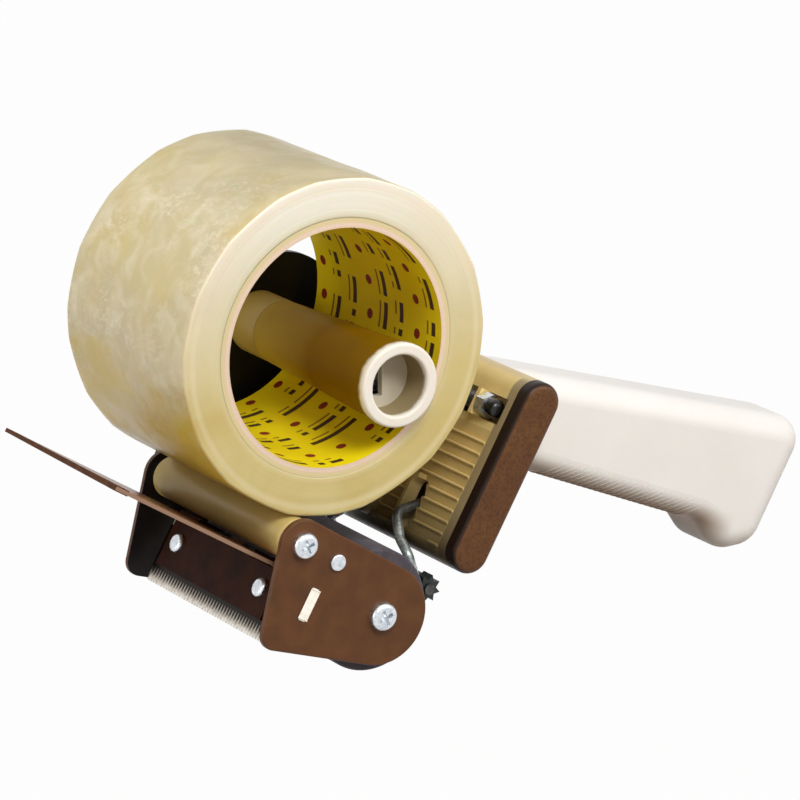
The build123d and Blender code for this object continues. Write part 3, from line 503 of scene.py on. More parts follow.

# %% [markdown]
# ## Hub sleeve
#
# The sleeve that carries the roll is cream plastic. Behind its lip, painted shade and painted
# yellow light from the liner turn it olive, lighter towards its foot, and painted shade darkens
# its bore. The lip keeps the plain, nearly white cream. The finish follows the place along the hub
# and the distance from its axis, with noise so that no border is ruled. A short helper works both
# out from Object coordinates, and the roll's own finishes use it again.

# %% Distance and turn round an axis
def around_axis(finish, centre):
    """Distance from an axis along Y, turn round it from -0.5 to 0.5, and place along it."""
    moved = new_node(finish.tree, "ShaderNodeMapping", Location=(-centre.x, 0, -centre.z),
                     Vector=finish.places)
    across, along, up = new_node(finish.tree, "ShaderNodeSeparateXYZ", Vector=moved).outputs
    turn = finish.maths("DIVIDE", finish.maths("ARCTAN2", up, across), math.tau)
    return finish.diagonal(across, up), turn, along


def vector_of(finish, *values):
    """A vector whose first parts are numbers or node outputs, and the rest 0."""
    return new_node(finish.tree, "ShaderNodeCombineXYZ",
                    slots=dict(enumerate(values))).outputs["Vector"]


# %% Hub
LIP_WHITE = 1.6 * MM
LIP_FADE = 3.4 * MM
HUB_BORE = 9.9 * MM
HUB_SKIN = 10.3 * MM
MOUTH_EDGE = 1.3 * MM
BORDER_WANDER = 0.6 * MM
hub = moulded("hub_cream", (246, 241, 232), (240, 234, 222), 0.4,
              Specular_IOR_Level=0.02, **LIT_INSIDE)
hub_front, hub_back = (corner.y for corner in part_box("hub_sleeve"))
hub_length = hub_back - hub_front
border = hub.cloud(5 * MM, 4.0, 0.3, 0.7, -BORDER_WANDER, BORDER_WANDER)
along_hub = hub.maths("ADD", hub.along(TO_FAR, hub_front), border)
# Painted shade and painted yellow light from the liner turn the sleeve olive behind its lip.
olive_shade_and_light = hub.blended(hub.cloud(26 * MM, 2.0, 0.3, 0.75), (134, 100, 6), (122, 89, 4))
to_foot = hub.ranged(along_hub, hub_length / 2, hub_length)
olive_shade_and_light = hub.blended(to_foot, olive_shade_and_light, (206, 182, 100))
hub_reach = around_axis(hub, axis_at["hub_spin"])[0]
hub.cover(hub.maths("MULTIPLY", hub.ranged(along_hub, LIP_WHITE, LIP_FADE),
                    hub.ranged(hub_reach, HUB_BORE, HUB_SKIN)), olive_shade_and_light)
# Painted shade inside the bore.
past_lip = hub.ranged(along_hub, MOUTH_EDGE, 2 * MOUTH_EDGE)
bore_shade = hub.ranged(hub_reach, HUB_BORE, HUB_SKIN, 1.0, 0.0)
hub.cover(hub.maths("MULTIPLY", past_lip, bore_shade), (158, 142, 106))
hub.on("hub_sleeve")
moulded("hub_foot", (200, 176, 104), (194, 168, 90), 0.4).on("hub_base")

# %% [markdown]
# ## Rubber
#
# The press roller's tyre and the lip on the flap are rubber: nearly black, dusty and matt. Most of
# what is seen on rubber is the dust, so a pale bloom is blended in where the noise is high.

# %% Rubber
def rubber(name, colour, bloom, roughness, **sockets):
    """Matt rubber with a dusty bloom and a coarse skin."""
    finish = Finish(name, colour, roughness, **{"Sheen_Weight": 0.15, **sockets})
    finish.cover(finish.cloud(5 * MM, 7.0, 0.42, 0.75, 0.0, 0.7, warp=0.6), bloom)
    finish.bumped(finish.noise(0.35 * MM, 3.0), 0.04 * MM, 0.8)
    return finish


rubber("tyre_rubber", (62, 56, 66), (96, 88, 98), 0.72).on("press_tyre")

# %% [markdown]
# ## Grained trim
#
# The two brown cheeks on the housing are moulded with a leathery grain: small dark dimples, a
# little redder than the plastic round them. The same noise darkens the colour and sinks the
# surface, so that colour and relief agree. Round its rim, painted shade makes each cheek nearly
# black.

# %% Trim
TRIM_GRAIN = 0.9 * MM
RIM_SHADE_STARTS = 0.3 * MM
RIM_SHADE_FULL = 0.8 * MM


def trimmed(name, face_y, inward):
    """Grained brown on the flat face of a cheek, and painted shade, nearly black, round its rim.
    """
    finish = Finish(name, (107, 70, 38), 0.44, Specular_IOR_Level=0.18, Coat_Weight=0.05,
                    Coat_Roughness=0.2)
    finish.cover(finish.cloud(9 * MM, 4.0, 0.3, 0.7), (92, 59, 33))
    grain = finish.noise(TRIM_GRAIN, 3.0)
    finish.cover(finish.ranged(grain, 0.4, 0.72, 0.0, 0.7), (66, 38, 24))
    inside = finish.along(TO_FAR * inward, inward * face_y)
    # Painted shade round the rim of the cheek.
    finish.cover(finish.ranged(inside, RIM_SHADE_STARTS, RIM_SHADE_FULL), (34, 21, 14))
    finish.bumped(grain, 0.04 * MM, 0.6)
    return finish


trimmed("near_trim_grain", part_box("trim_near")[0].y, 1).on("trim_near")
trimmed("far_trim_grain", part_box("trim_far")[1].y, -1).on("trim_far")

# %% [markdown]
# ## Card core
#
# The tape is wound on a tube of grey-pink card, made of thin plies. Only its end shows, as a
# ring: clean and pinkish next to the bore, and soaked with the film's glue outside. Both the plies
# and that border follow the distance from the axis, so the finish uses the hub's helper.

# %% Card
CARD_CLEAN = 0.9 * MM
CARD_GLUED = 1.5 * MM


def ring_noise(finish, size, detail, reach):
    """Noise that changes only with the distance from the axis."""
    return finish.noise(size, detail, vector=vector_of(finish, reach))


liner_low, liner_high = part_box("core_liner")
liner_radius = (liner_high.x - liner_low.x) / 2
card = Finish("card_core", (240, 218, 200), 0.78)
card_reach = around_axis(card, roll_at)[0]
plies = ring_noise(card, 0.35 * MM, 2.0, card_reach)
card_tone = card.ranged(plies, 0.35, 0.65)
card.cover(card_tone, (226, 198, 178))
card.cover(card.cloud(0.6 * MM, 4.0, 0.5, 0.7, 0.0, 0.4), (206, 176, 154))
soaked = card.ranged(card_reach, liner_radius + CARD_CLEAN, liner_radius + CARD_GLUED)
card.cover(soaked, card.blended(card_tone, (228, 212, 166), (216, 196, 146)))
card.bumped(plies, 0.05 * MM, 0.5)
card.on("tape_core")

# %% [markdown]
# ## Printed liner
#
# The bore of the tube is lined with bright yellow paper that carries rows of small printed marks.
# Here the marks are plain dashes and dots that say nothing. They are drawn in the finish: the
# turn round the axis and the place along it are cut into cells, and a white-noise number per cell
# decides whether the cell is printed, so neighbouring cells join into dashes of many lengths.

# %% The liner's rows
ROW_COUNT = 8
row_width = (liner_high.y - liner_low.y) / ROW_COUNT
liner = Finish("printed_liner", (255, 236, 6), 0.5)
liner_turn, liner_along = around_axis(liner, roll_at)[1:]
row_place = liner.maths("DIVIDE", liner.maths("SUBTRACT", liner_along, liner_low.y), row_width)
row_number = liner.maths("FLOOR", row_place)
in_row = liner.maths("FRACT", row_place)
print("liner rows", ROW_COUNT)


# %% Helpers for printed marks
def cells_round(count, slide):
    """Cell number and place in the cell, for count cells round the bore, slid row by row."""
    place = liner.maths("ADD", liner.maths("MULTIPLY", liner_turn, count),
                        liner.maths("MULTIPLY", row_number, slide))
    return liner.maths("FLOOR", place), liner.maths("FRACT", place)


def within(value, middle, half):
    """1 where value lies within half of middle."""
    return liner.maths("LESS_THAN", liner.off(value, middle), half)


def chance(cell, share):
    """1 in about that share of the cells, by a random number that each cell always gets."""
    dice = new_node(liner.tree, "ShaderNodeTexWhiteNoise",
                    Vector=vector_of(liner, cell, row_number))
    return liner.maths("LESS_THAN", dice.outputs["Value"], share)


# %% Dashes, dots and paper
LINER_CELLS = 110
LINER_SLIDE = 7
DASH_SHARE = 0.58
DASH_HALF = 0.12
FINE_SHARE = 0.5
FINE_PLACE = 0.86
FINE_HALF = 0.05
DOT_EVERY = 3
DOT_CELLS = 21
DOT_SLIDE = 3
DOT_RADIUS = 1.7 * MM
CUT_EDGE = 0.25 * MM
dash_cell = cells_round(LINER_CELLS, LINER_SLIDE)[0]
dashes = liner.maths("MULTIPLY", chance(dash_cell, DASH_SHARE), within(in_row, 0.5, DASH_HALF))
fine_dashes = liner.maths("MULTIPLY", chance(dash_cell, FINE_SHARE),
                          within(in_row, FINE_PLACE, FINE_HALF))
dot_place = cells_round(DOT_CELLS, DOT_SLIDE)[1]
dot_across = liner.maths("MULTIPLY", liner.maths("SUBTRACT", dot_place, 0.5),
                         math.tau * liner_radius / DOT_CELLS)
dot_up = liner.maths("MULTIPLY", liner.maths("SUBTRACT", in_row, 0.5), row_width)
dots = liner.maths("LESS_THAN", liner.diagonal(dot_across, dot_up), DOT_RADIUS)
dotted_row = within(liner.maths("FLOORED_MODULO", row_number, DOT_EVERY), 1.0, 0.5)
dashed_row = liner.maths("SUBTRACT", 1.0, dotted_row)
liner.cover(liner.cloud(16 * MM, 4.0, 0.3, 0.7), (254, 228, 8))
for marks, rows, ink in ((dashes, dashed_row, (62, 40, 18)),
                         (fine_dashes, dashed_row, (150, 110, 24)),
                         (dots, dotted_row, (138, 34, 20))):
    liner.cover(liner.maths("MULTIPLY", marks, rows), ink)
cut_end = liner.ranged(liner_along, liner_low.y, liner_low.y + CUT_EDGE, 1.0, 0.0)
liner.cover(cut_end, (228, 204, 172))
liner.bumped(liner.noise(1.0 * MM, 3.0), 0.02 * MM, 0.6)
liner.on("core_liner")

# %% [markdown]
# ## The wound film
#
# Hundreds of turns of clear film make the roll. Seen from the side it is a slightly lumpy
# cylinder, because trapped air lifts some stretches and leaves others flat. Its ends show the
# edges of the turns, which never lie quite level. CAD holds it as a plain tube, so the piece is
# replaced here by an outline swept round the axis in mesh code, which can move every point.

# %% Helpers that skin a row of loops and keep the mesh
def skinned(mesh, loops):
    """Faces from each loop of points to the next."""
    for here, there in zip(loops, loops[1:]):
        for first in range(len(here)):
            second = (first + 1) % len(here)
            face = mesh.faces.new((here[first], here[second], there[second], there[first]))
            face.smooth = True


def kept(mesh, name):
    """Mesh data with its faces turned outwards, from mesh code that ends here."""
    bmesh.ops.recalc_face_normals(mesh, faces=mesh.faces[:])
    data = bpy.data.meshes.new(name)
    mesh.to_mesh(data)
    mesh.free()
    return data


def swept_ring(name, outline, steps, moved):
    """A closed outline of (radius, place along the axis) points, swept once round the axis."""
    mesh = bmesh.new()
    loops = []
    for step in range(steps):
        angle = math.tau * step / steps
        loop = []
        for point in outline:
            radius, along = moved(*point, angle)
            loop.append(mesh.verts.new((roll_at.x + radius * math.cos(angle), along,
                                        roll_at.z + radius * math.sin(angle))))
        loops.append(loop)
    skinned(mesh, loops + loops[:1])
    return in_scene(name, kept(mesh, name))


# %% Sizes of the film, and its random flats and turns
FILM_STEPS = 420
FILM_FLATS = 19
FLAT_SHARE = 0.42
CORNER_WANDER = 0.3
FLAT_SWINGS = ((0.05, 11 * MM, 0.0), (0.03, 4.7 * MM, 2.0))
EDGE_ROUND = 1.0 * MM
EDGE_STEPS = 5
END_RINGS = 16
SIDE_STRIPS = 24
TURN_SHIFT = 0.16 * MM
LEAST_SHIFT = 0.4
FILM_SEED = 11
film_low, film_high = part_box("tape_film")
film_radius = (film_high.x - film_low.x) / 2
core_radius = (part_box("tape_core")[1].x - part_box("tape_core")[0].x) / 2
near_end, far_end = film_low.y, film_high.y
draws = random.Random(FILM_SEED)
flat_corners = sorted(
    (place + draws.uniform(-CORNER_WANDER, CORNER_WANDER)) * math.tau / FILM_FLATS
    for place in range(FILM_FLATS))
turn_shifts = [draws.uniform(0.0, TURN_SHIFT) for ring in range(END_RINGS + 2)]
print("film", round(film_radius / MM, 2), "mm radius,", FILM_FLATS, "flats")


# %% Film
def flat_sink(angle, along):
    """How far the outer turns lie inside a true circle, between two corners of trapped air."""
    swing = sum(size * math.sin(along / length + start) for size, length, start in FLAT_SWINGS)
    angle = (angle + swing - flat_corners[0]) % math.tau + flat_corners[0]
    before = max(corner for corner in flat_corners if corner <= angle)
    later = [corner for corner in flat_corners if corner > angle]
    after = min(later) if later else flat_corners[0] + math.tau
    half = (after - before) / 2
    chord = math.cos(half) / math.cos(angle - before - half)
    return film_radius * (1 - chord) * FLAT_SHARE


def film_moved(radius, along, angle):
    """The film's own unevenness: flats outside, and ends whose turns are not level."""
    outward = (radius - core_radius) / (film_radius - core_radius)
    radius -= flat_sink(angle, along) * outward ** 2
    inward = 1 if along < (near_end + far_end) / 2 else -1
    if min(along - near_end, far_end - along) < EDGE_ROUND / 2:
        ring = min(int(outward * END_RINGS), END_RINGS)
        drift = 0.5 + 0.5 * math.sin(2 * angle + ring)
        along += inward * turn_shifts[ring] * (LEAST_SHIFT + (1 - LEAST_SHIFT) * drift)
    return radius, along


def film_outline():
    """Half-way round: near end outwards, rounded rim, outer side, rounded rim, far end inwards."""
    flat_radius = film_radius - EDGE_ROUND
    near = [(core_radius + (flat_radius - core_radius) * ring / END_RINGS, near_end)
            for ring in range(END_RINGS + 1)]
    for step in range(1, EDGE_STEPS):
        turn = math.pi / 2 * step / EDGE_STEPS
        near.append((flat_radius + EDGE_ROUND * math.sin(turn),
                     near_end + EDGE_ROUND - EDGE_ROUND * math.cos(turn)))
    length = far_end - near_end - 2 * EDGE_ROUND
    side = [(film_radius, near_end + EDGE_ROUND + length * strip / SIDE_STRIPS)
            for strip in range(SIDE_STRIPS + 1)]
    far = [(radius, far_end - (along - near_end)) for radius, along in reversed(near)]
    return near + side + far


film = swept_ring("wound_film", film_outline(), FILM_STEPS, film_moved)
print("film", len(film.data.polygons), "faces")

# %% [markdown]
# The side and the ends of the roll look different, so they get two finishes on one mesh. The side
# shows clear layers over each other: pale yellow-grey with creamy and greenish patches, and fine
# bright nicks where air lies close to the surface. One stretch of it gets painted shade, and one
# gets painted yellow light from the liner shining through. The ends show the film's edges as fine
# rings, with painted light making them paler towards the top.

# %% The film's side
LINER_LIGHT_TURN = -0.37
LINER_LIGHT_FULL = 0.03
LINER_LIGHT_ENDS = 0.13
LINER_LIGHT_DRIFT = 0.05
SHADED_TURN = 0.21
SHADED_FULL = 0.02
SHADED_ENDS = 0.14
DEEP_LIGHT = {"Subsurface_Weight": 0.35, "Subsurface_Scale": 0.005}
film_side = Finish("film_side", (218, 202, 148), 0.34, Coat_Weight=0.12,
                   Coat_Roughness=0.25, Specular_IOR_Level=0.25, **DEEP_LIGHT)
patches = film_side.cloud(24 * MM, 5.0, 0.32, 0.68, warp=0.3)
film_side.cover(patches, (212, 200, 164))
film_side.cover(film_side.cloud(30 * MM, 5.0, 0.5, 0.7, 0.0, 0.55, warp=0.4), (216, 190, 112))
milky = film_side.cloud(9 * MM, 8.0, 0.42, 0.72, 0.0, 0.6, warp=0.7)
film_side.cover(milky, (240, 232, 206))
nicks = film_side.cloud(1.7 * MM, 5.0, 0.5, 0.68, 0.0, 0.45, stretch=(1, 0.6, 1), warp=0.8)
nicks = film_side.maths("MULTIPLY", nicks, film_side.cloud(24 * MM, 2.0, 0.42, 0.6))
film_side.cover(nicks, (250, 242, 220))
side_turn = around_axis(film_side, roll_at)[1]
shaded = film_side.off(side_turn, SHADED_TURN)
shaded = film_side.ranged(shaded, SHADED_FULL, SHADED_ENDS, 0.95, 0.0)
shaded = film_side.maths("MULTIPLY", shaded, film_side.ranged(patches, 0.0, 0.8, 0.5, 1.0))
film_side.cover(shaded, (164, 146, 88))
# Painted yellow light from the liner, on one stretch of the side.
drift = film_side.cloud(20 * MM, 4.0, 0.3, 0.7, -LINER_LIGHT_DRIFT, LINER_LIGHT_DRIFT)
liner_light = film_side.off(film_side.maths("ADD", side_turn, drift), LINER_LIGHT_TURN)
film_side.cover(film_side.ranged(liner_light, LINER_LIGHT_FULL, LINER_LIGHT_ENDS, 0.9, 0.0), (216, 190, 54))
film_side.roughened(film_side.ranged(milky, 0.0, 0.65, 0.28, 0.44))
film_side.bumped(film_side.noise(5 * MM, 5.0, warp=0.6), 0.2 * MM, 0.4)

# %% The film's ends
CORE_STAIN = 2.5 * MM
TOP_LIGHT_STARTS = -0.25 * film_radius
TOP_LIGHT_FULL = 0.9 * film_radius
film_end = Finish("film_end", (216, 200, 140), 0.42, Specular_IOR_Level=0.35, **DEEP_LIGHT)
film_end.cover(film_end.cloud(20 * MM, 4.0, 0.35, 0.68, warp=0.6), (205, 185, 118))
# Painted light: the ends turn paler towards the top.
height = film_end.along((0, 0, 1), roll_at.z)
film_end.cover(film_end.ranged(height, TOP_LIGHT_STARTS, TOP_LIGHT_FULL), (243, 240, 229))
end_reach = around_axis(film_end, roll_at)[0]
rings = ring_noise(film_end, 0.55 * MM, 3.0, end_reach)
film_end.cover(film_end.ranged(rings, 0.4, 0.7, 0.0, 0.35), (214, 198, 150))
broad_rings = ring_noise(film_end, 4.5 * MM, 2.0, end_reach)
film_end.cover(film_end.ranged(broad_rings, 0.5, 0.7, 0.0, 0.4), (240, 230, 202))
stain = film_end.ranged(end_reach, core_radius, core_radius + CORE_STAIN, 0.6, 0.0)
film_end.cover(stain, (226, 204, 160))
film_end.bumped(rings, 0.06 * MM, 0.5)

# %% Finishes on the film
END_FACING = 0.6
film.data.materials.append(film_side.material)
film.data.materials.append(film_end.material)
for polygon in film.data.polygons:
    if abs(polygon.normal.y) > END_FACING:
        polygon.material_index = 1
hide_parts("tape_film")
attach(film, "roll")
print("film ends", sum(polygon.material_index for polygon in film.data.polygons), "faces")

# %% [markdown]
# ## The strip on the flap's edge
#
# A soft brown strip is folded over the flap's free edge. It was pressed thinner towards the far
# side, which a CAD block doesn't show. A copy of the CAD mesh is the easiest start: its outer
# corners are moved towards the sheet, and its inner ones, which touch the sheet, stay.

# %% Pressed strip
STRIP_NEAR = 0.82
STRIP_FAR = 0.60
SHEET_SKIN = 0.85 * MM
SAME_POINT = 0.001 * MM
strip_low, strip_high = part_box("flap_lip")
shape = bmesh.new()
shape.from_mesh(nodes["flap_lip"].data)
bmesh.ops.remove_doubles(shape, verts=shape.verts[:], dist=SAME_POINT)
strip_middle = sum((vertex.co for vertex in shape.verts), Vector()) / len(shape.verts)
flap_way = strip_middle - axis_at["flap_swing"]
flap_way.y = 0
flap_way.normalize()
flap_up = TO_FAR.cross(flap_way)
for vertex in shape.verts:
    lift = (vertex.co - strip_middle).dot(flap_up)
    share = (vertex.co.y - strip_low.y) / (strip_high.y - strip_low.y)
    if abs(lift) > SHEET_SKIN:
        pressed = STRIP_NEAR + (STRIP_FAR - STRIP_NEAR) * share
        vertex.co -= flap_up * lift * (1 - pressed)
flap_strip = in_scene("flap_strip", kept(shape, "flap_strip"))
strip_rubber = rubber("strip_rubber", (72, 38, 14), (104, 64, 26), 0.5,
                      Sheen_Weight=0.0, Specular_IOR_Level=0.15)
flap_strip.data.materials.append(strip_rubber.material)
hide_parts("flap_lip")
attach(flap_strip, "flap")
print("strip", len(flap_strip.data.polygons), "faces")

# %% [markdown]
# ## Peened ends of the tie bar
#
# The bar between the side plates is held by tabs that come through slots and are hammered over.
# The hammered end is a little wider than the slot and has soft edges, so each one is a thin block
# with rounded edges that sits on the end of its tab.

# %% Peened tabs
PEEN_LONG = 9.8 * MM
PEEN_WIDE = 3.0 * MM
PEEN_THICK = 0.8 * MM
PEEN_PROUD = 0.25 * MM
PEEN_ROUND = 0.3 * MM
ROUND_STEPS = 3
bar_low, bar_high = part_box("tie_bar")
stack_out = TO_FAR.cross(stack_up)


def peened_end(name, end_y, outward):
    """A soft-edged block over one end of the tie bar."""
    block = bmesh.new()
    bmesh.ops.create_cube(block, size=1.0)
    middle = (bar_low + bar_high) / 2
    middle.y = end_y + outward * (PEEN_PROUD - PEEN_THICK / 2)
    for corner in block.verts:
        place = corner.co.copy()
        corner.co = (middle + stack_up * place.x * PEEN_LONG + TO_FAR * place.y * PEEN_THICK
                     + stack_out * place.z * PEEN_WIDE)
    bmesh.ops.bevel(block, geom=block.edges[:], offset=PEEN_ROUND, segments=ROUND_STEPS,
                    affect="EDGES", profile=0.5)
    piece = in_scene(name, kept(block, name))
    piece.data.materials.append(bar_steel.material)
    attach(piece, "frame")
    print(name, len(piece.data.polygons), "faces")


peened_end("peened_tab_near", bar_low.y, -1)
peened_end("peened_tab_far", bar_high.y, 1)

# %% [markdown]
# ## Coil springs
#
# Two small torsion springs sit on the flap's hinge and two larger ones on the adjuster's spindle.
# A coil is a spiral curve with a round wire swept along it, which is just what Geometry Nodes do
# well: one tree with the coil's sizes as named inputs serves all four springs. The tree lays
# copies of one shape along a line, as the trees for the ridges and the beads do further down.

# %% Helpers for Geometry Nodes
def new_tree(name, **sizes):
    """An empty tree with named inputs; a size's type follows from its default value."""
    kinds = {float: "NodeSocketFloat", int: "NodeSocketInt", tuple: "NodeSocketVector"}
    tree = bpy.data.node_groups.new(name, "GeometryNodeTree")
    for label, value in sizes.items():
        socket = tree.interface.new_socket(name=label, in_out="INPUT",
                                           socket_type=kinds[type(value)])
        socket.default_value = value
    tree.interface.new_socket(name="finish", in_out="INPUT", socket_type="NodeSocketMaterial")
    tree.interface.new_socket(name="shape", in_out="OUTPUT", socket_type="NodeSocketGeometry")
    return tree, new_node(tree, "NodeGroupInput").outputs


def tube(tree, line, sides, radius):
    """A closed round tube along a curve."""
    section = new_node(tree, "GeometryNodeCurvePrimitiveCircle", Resolution=sides, Radius=radius)
    return new_node(tree, "GeometryNodeCurveToMesh", Curve=line, Fill_Caps=True,
                    Profile_Curve=section)


def close_tree(tree, shape, count, first, pitch, finish):
    """Ends a tree with a row of copies of a shape, made real and given its finish."""
    places = new_node(tree, "GeometryNodeMeshLine", Count=count, Start_Location=first,
                      Offset=pitch)
    copies = new_node(tree, "GeometryNodeInstanceOnPoints", Points=places, Instance=shape)
    real = new_node(tree, "GeometryNodeRealizeInstances", Geometry=copies)
    smooth = new_node(tree, "GeometryNodeSetShadeSmooth", Geometry=real)
    named = new_node(tree, "GeometryNodeSetMaterial", Geometry=smooth, Material=finish)
    new_node(tree, "NodeGroupOutput", slots={0: named})


def grown(tree, name, finish, **sizes):
    """Runs a tree and keeps the result as a plain mesh object, with no modifier left on it."""
    piece = in_scene(name, bpy.data.meshes.new(name + "_start"))
    modifier = piece.modifiers.new(name, "NODES")
    modifier.node_group = tree
    sizes["finish"] = finish.material
    for item in tree.interface.items_tree:
        if item.in_out == "INPUT" and item.name in sizes:
            modifier[item.identifier] = sizes[item.name]
    shape = piece.evaluated_get(bpy.context.evaluated_depsgraph_get())
    plain = bpy.data.meshes.new_from_object(shape)
    piece.modifiers.remove(modifier)
    piece.data = plain
    print(name, len(plain.polygons), "faces")
    return piece


# %% A tree that makes a pair of coils
ORIGIN = (0.0, 0.0, 0.0)
COIL_STEPS = 28
WIRE_SIDES = 8
coil_tree, coil_in = new_tree("coil_pair", coil_radius=2 * MM, wire_radius=0.3 * MM,
                              length=8 * MM, turns=8.0, start=ORIGIN,
                              next_coil=(0.0, 10 * MM, 0.0))
spiral = new_node(coil_tree, "GeometryNodeCurveSpiral", Resolution=COIL_STEPS,
                  Rotations=coil_in["turns"], Start_Radius=coil_in["coil_radius"],
                  End_Radius=coil_in["coil_radius"], Height=coil_in["length"])
wire = tube(coil_tree, spiral, WIRE_SIDES, coil_in["wire_radius"])
laid = new_node(coil_tree, "GeometryNodeTransform", Geometry=wire,
                Rotation=(-math.pi / 2, 0.0, 0.0))
close_tree(coil_tree, laid, 2, coil_in["start"], coil_in["next_coil"], coil_in["finish"])

# %% The four springs
COIL_GAP = 1.35
spring_black = plated("spring_black", (92, 90, 88), (58, 56, 55), 0.36)
spring_black.on("keeper_shaft")


def spring_pair(node, body, length, thick):
    """Two coils that fill the two sleeves that CAD keeps for them."""
    low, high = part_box(node)
    start = ((low.x + high.x) / 2, low.y + thick, (low.z + high.z) / 2)
    piece = grown(coil_tree, node + "_wire", spring_black, wire_radius=thick,
                  coil_radius=(high.x - low.x) / 2 - thick, length=length - 2 * thick,
                  turns=(length - 2 * thick) / (2 * thick * COIL_GAP), start=start,
                  next_coil=(0.0, high.y - low.y - length, 0.0))
    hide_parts(node)
    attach(piece, body)


spring_pair("flap_springs", "flap", length=7.7 * MM, thick=0.26 * MM)
spring_pair("keeper_springs", "keeper", length=8.1 * MM, thick=0.38 * MM)

# %% [markdown]
# ## Finger ridges under the grip
#
# The grip's underside has a row of fine moulded ridges that lean forward and fade out on both
# sides. One ridge is a short bead that follows the rounded edge of the grip. The row is a line of
# copies of it, so the bead is made once in mesh code and Geometry Nodes repeat it.

# %% Where the ridges lie
def from_axis(across, up):
    """A place in the row frame, from distances to the roll's axis in the tool's own frame."""
    return roll_at + lean @ Vector((across, 0, up))


BELLY_FRONT = (63.98 * MM, -50.77 * MM)
BELLY_BACK = (155.48 * MM, -88.97 * MM)
GRIP_EDGE = 8.0 * MM
belly_start = from_axis(*BELLY_FRONT)
belly_end = from_axis(*BELLY_BACK)
belly_way = (belly_end - belly_start).normalized()
belly_up = belly_way.cross(TO_FAR)
grip_half = grip_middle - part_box("handle_near")[0].y
print("belly", round((belly_end - belly_start).length / MM, 1), "mm long")

# %% One ridge
RIDGE_RISE = 7.0 * MM
RIDGE_LEAN = 0.95
RIDGE_WIDE = 0.72 * MM
RIDGE_HIGH = 0.36 * MM
RIDGE_FADE = 0.97
ARC_STEPS = 10
RIDGE_SIDES = 8
top_turn = math.acos(1 - RIDGE_RISE / GRIP_EDGE)


def ridge_line():
    """Points, outward directions and thickness of a bead from the near side to the far side."""
    line = []
    for side in (-1, 1):
        half = []
        for step in range(ARC_STEPS + 1):
            turn = top_turn * step / ARC_STEPS
            rise = GRIP_EDGE * (1 - math.cos(turn))
            out = grip_half - GRIP_EDGE + GRIP_EDGE * math.sin(turn)
            place = belly_way * rise * RIDGE_LEAN + belly_up * rise + TO_FAR * side * out
            normal = TO_FAR * side * math.sin(turn) - belly_up * math.cos(turn)
            half.append((place, normal, 1.0 - RIDGE_FADE * step / ARC_STEPS))
        line += reversed(half) if side < 0 else half
    return line


def ridge_bead():
    """The bead's mesh: an oval swept along the ridge line, half sunk into the grip."""
    mesh = bmesh.new()
    loops = []
    for place, normal, thickness in ridge_line():
        loop = []
        for side in range(RIDGE_SIDES):
            turn = math.tau * side / RIDGE_SIDES
            loop.append(mesh.verts.new(
                place + belly_way * math.cos(turn) * RIDGE_WIDE * thickness
                + normal * math.sin(turn) * RIDGE_HIGH * thickness))
        loops.append(loop)
    skinned(mesh, loops)
    mesh.faces.new(loops[0])
    mesh.faces.new(loops[-1])
    return bpy.data.objects.new("ridge_bead", kept(mesh, "ridge_bead"))


bead = ridge_bead()
print("one ridge", len(bead.data.polygons), "faces")

# %% The row of ridges
RIDGE_FIRST = 30.5 * MM
RIDGE_PITCH = 2.42 * MM
RIDGE_COUNT = 26
ridge_tree, ridge_in = new_tree("ridge_row", start=ORIGIN, pitch=ORIGIN, ridges=RIDGE_COUNT)
one_ridge = new_node(ridge_tree, "GeometryNodeObjectInfo", Object=bead)
close_tree(ridge_tree, one_ridge.outputs["Geometry"], ridge_in["ridges"], ridge_in["start"],
           ridge_in["pitch"], ridge_in["finish"])
ridge_start = belly_start + belly_way * RIDGE_FIRST
ridge_start.y = grip_middle
grip_ridges = grown(ridge_tree, "grip_ridges", grip, start=tuple(ridge_start),
                    pitch=tuple(belly_way * RIDGE_PITCH), ridges=RIDGE_COUNT)
bpy.data.objects.remove(bead)
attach(grip_ridges, "frame")

# %% [markdown]
# ## The grip's underside
#
# Painted shade browns the grip's underside, from the housing to the foot. The tone is laid over
# the
# cream by two measures: the height over the ridges' line, which fades it out round the grip's
# edge, and the place along that line, which ends it before the foot.

# %% Painted shade on the underside
UNDER_FULL = 0.4 * MM
UNDER_STARTS = 6.0 * MM
UNDER_SHARE = 0.85
FOOT_SHADE_FADE = 12.0 * MM
over_belly = grip.along(belly_up, belly_start.dot(belly_up))
# Painted shade on the underside, fading out round the grip's edge.
underside_shade = grip.ranged(over_belly, UNDER_FULL, UNDER_STARTS, UNDER_SHARE, 0.0)
past_belly = grip.along(belly_way, belly_end.dot(belly_way))
before_foot = grip.ranged(past_belly, 0.0, FOOT_SHADE_FADE, 1.0, 0.0)
grip.cover(grip.maths("MULTIPLY", underside_shade, before_foot), (150, 118, 90))
print("underside browned up to", round(UNDER_STARTS / MM, 1), "mm")

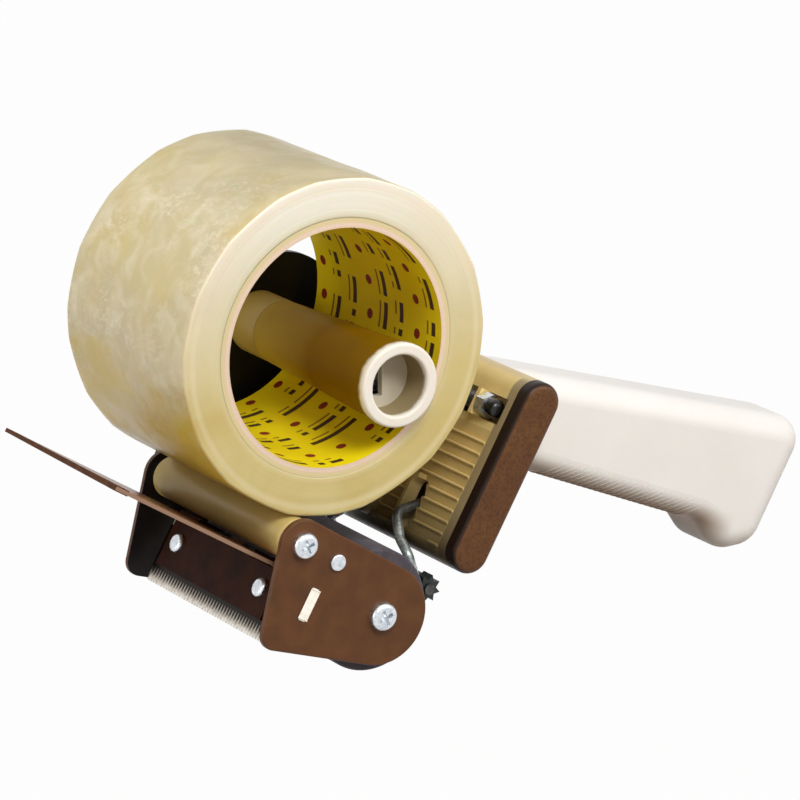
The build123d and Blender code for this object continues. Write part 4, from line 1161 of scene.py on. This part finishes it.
# %% [markdown]
# ## Beads on the housing's ribs
#
# The housing's face is stepped like roof tiles, and each step ends in a thin rounded bead that
# catches the light. The beads are all alike and evenly spaced, so Geometry Nodes lay them out:
# one bead is a short closed tube, and a line of points repeats it from rib to rib.

# %% A tree for a row of beads
BEAD_THICK = 0.52 * MM
BEAD_SUNK = 0.1 * MM
BEAD_SIDES = 12
bead_tree, bead_in = new_tree("bead_row", first=ORIGIN, pitch=ORIGIN, beads=3, near_tip=ORIGIN,
                              far_tip=(0.0, 10 * MM, 0.0), thickness=BEAD_THICK)
bead_line = new_node(bead_tree, "GeometryNodeCurvePrimitiveLine", Start=bead_in["near_tip"],
                     End=bead_in["far_tip"])
one_bead = tube(bead_tree, bead_line, BEAD_SIDES, bead_in["thickness"])
close_tree(bead_tree, one_bead, bead_in["beads"], bead_in["first"], bead_in["pitch"],
           bead_in["finish"])

# %% Beads across the face, with room left for the two arms and their swing
ARM_FROM_MIDDLE = 11.0 * MM
ARM_ROOM = 4.5 * MM
ARM_RIB = 5
LOW_RIB = 9
ARM_SPREAD = 27.0 * MM
for span, first_rib, end_rib, low, high in (
        ("top", 0, ARM_RIB, -RIB_HALF, RIB_HALF),
        ("near", ARM_RIB, LOW_RIB, -RIB_HALF, -ARM_FROM_MIDDLE - ARM_ROOM),
        ("middle", ARM_RIB, RIB_STEPS, ARM_ROOM - ARM_FROM_MIDDLE, ARM_FROM_MIDDLE - ARM_ROOM),
        ("far", ARM_RIB, LOW_RIB, ARM_FROM_MIDDLE + ARM_ROOM, RIB_HALF),
        ("low_near", LOW_RIB, RIB_STEPS, -RIB_HALF, -ARM_SPREAD),
        ("low_far", LOW_RIB, RIB_STEPS, ARM_SPREAD, RIB_HALF)):
    along = FACE_ALONG + RIB_TOP - (first_rib + 1) * RIB_PITCH - BEAD_THICK / 2
    first = roll_at + stack_up * along + face_out * (FACE_OUT - BEAD_SUNK)
    first.y = grip_middle
    piece = grown(bead_tree, "rib_beads_" + span, shell, first=tuple(first),
                  pitch=tuple(-stack_up * RIB_PITCH), beads=end_rib - first_rib,
                  near_tip=(0.0, low, 0.0), far_tip=(0.0, high, 0.0))
    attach(piece, "frame")
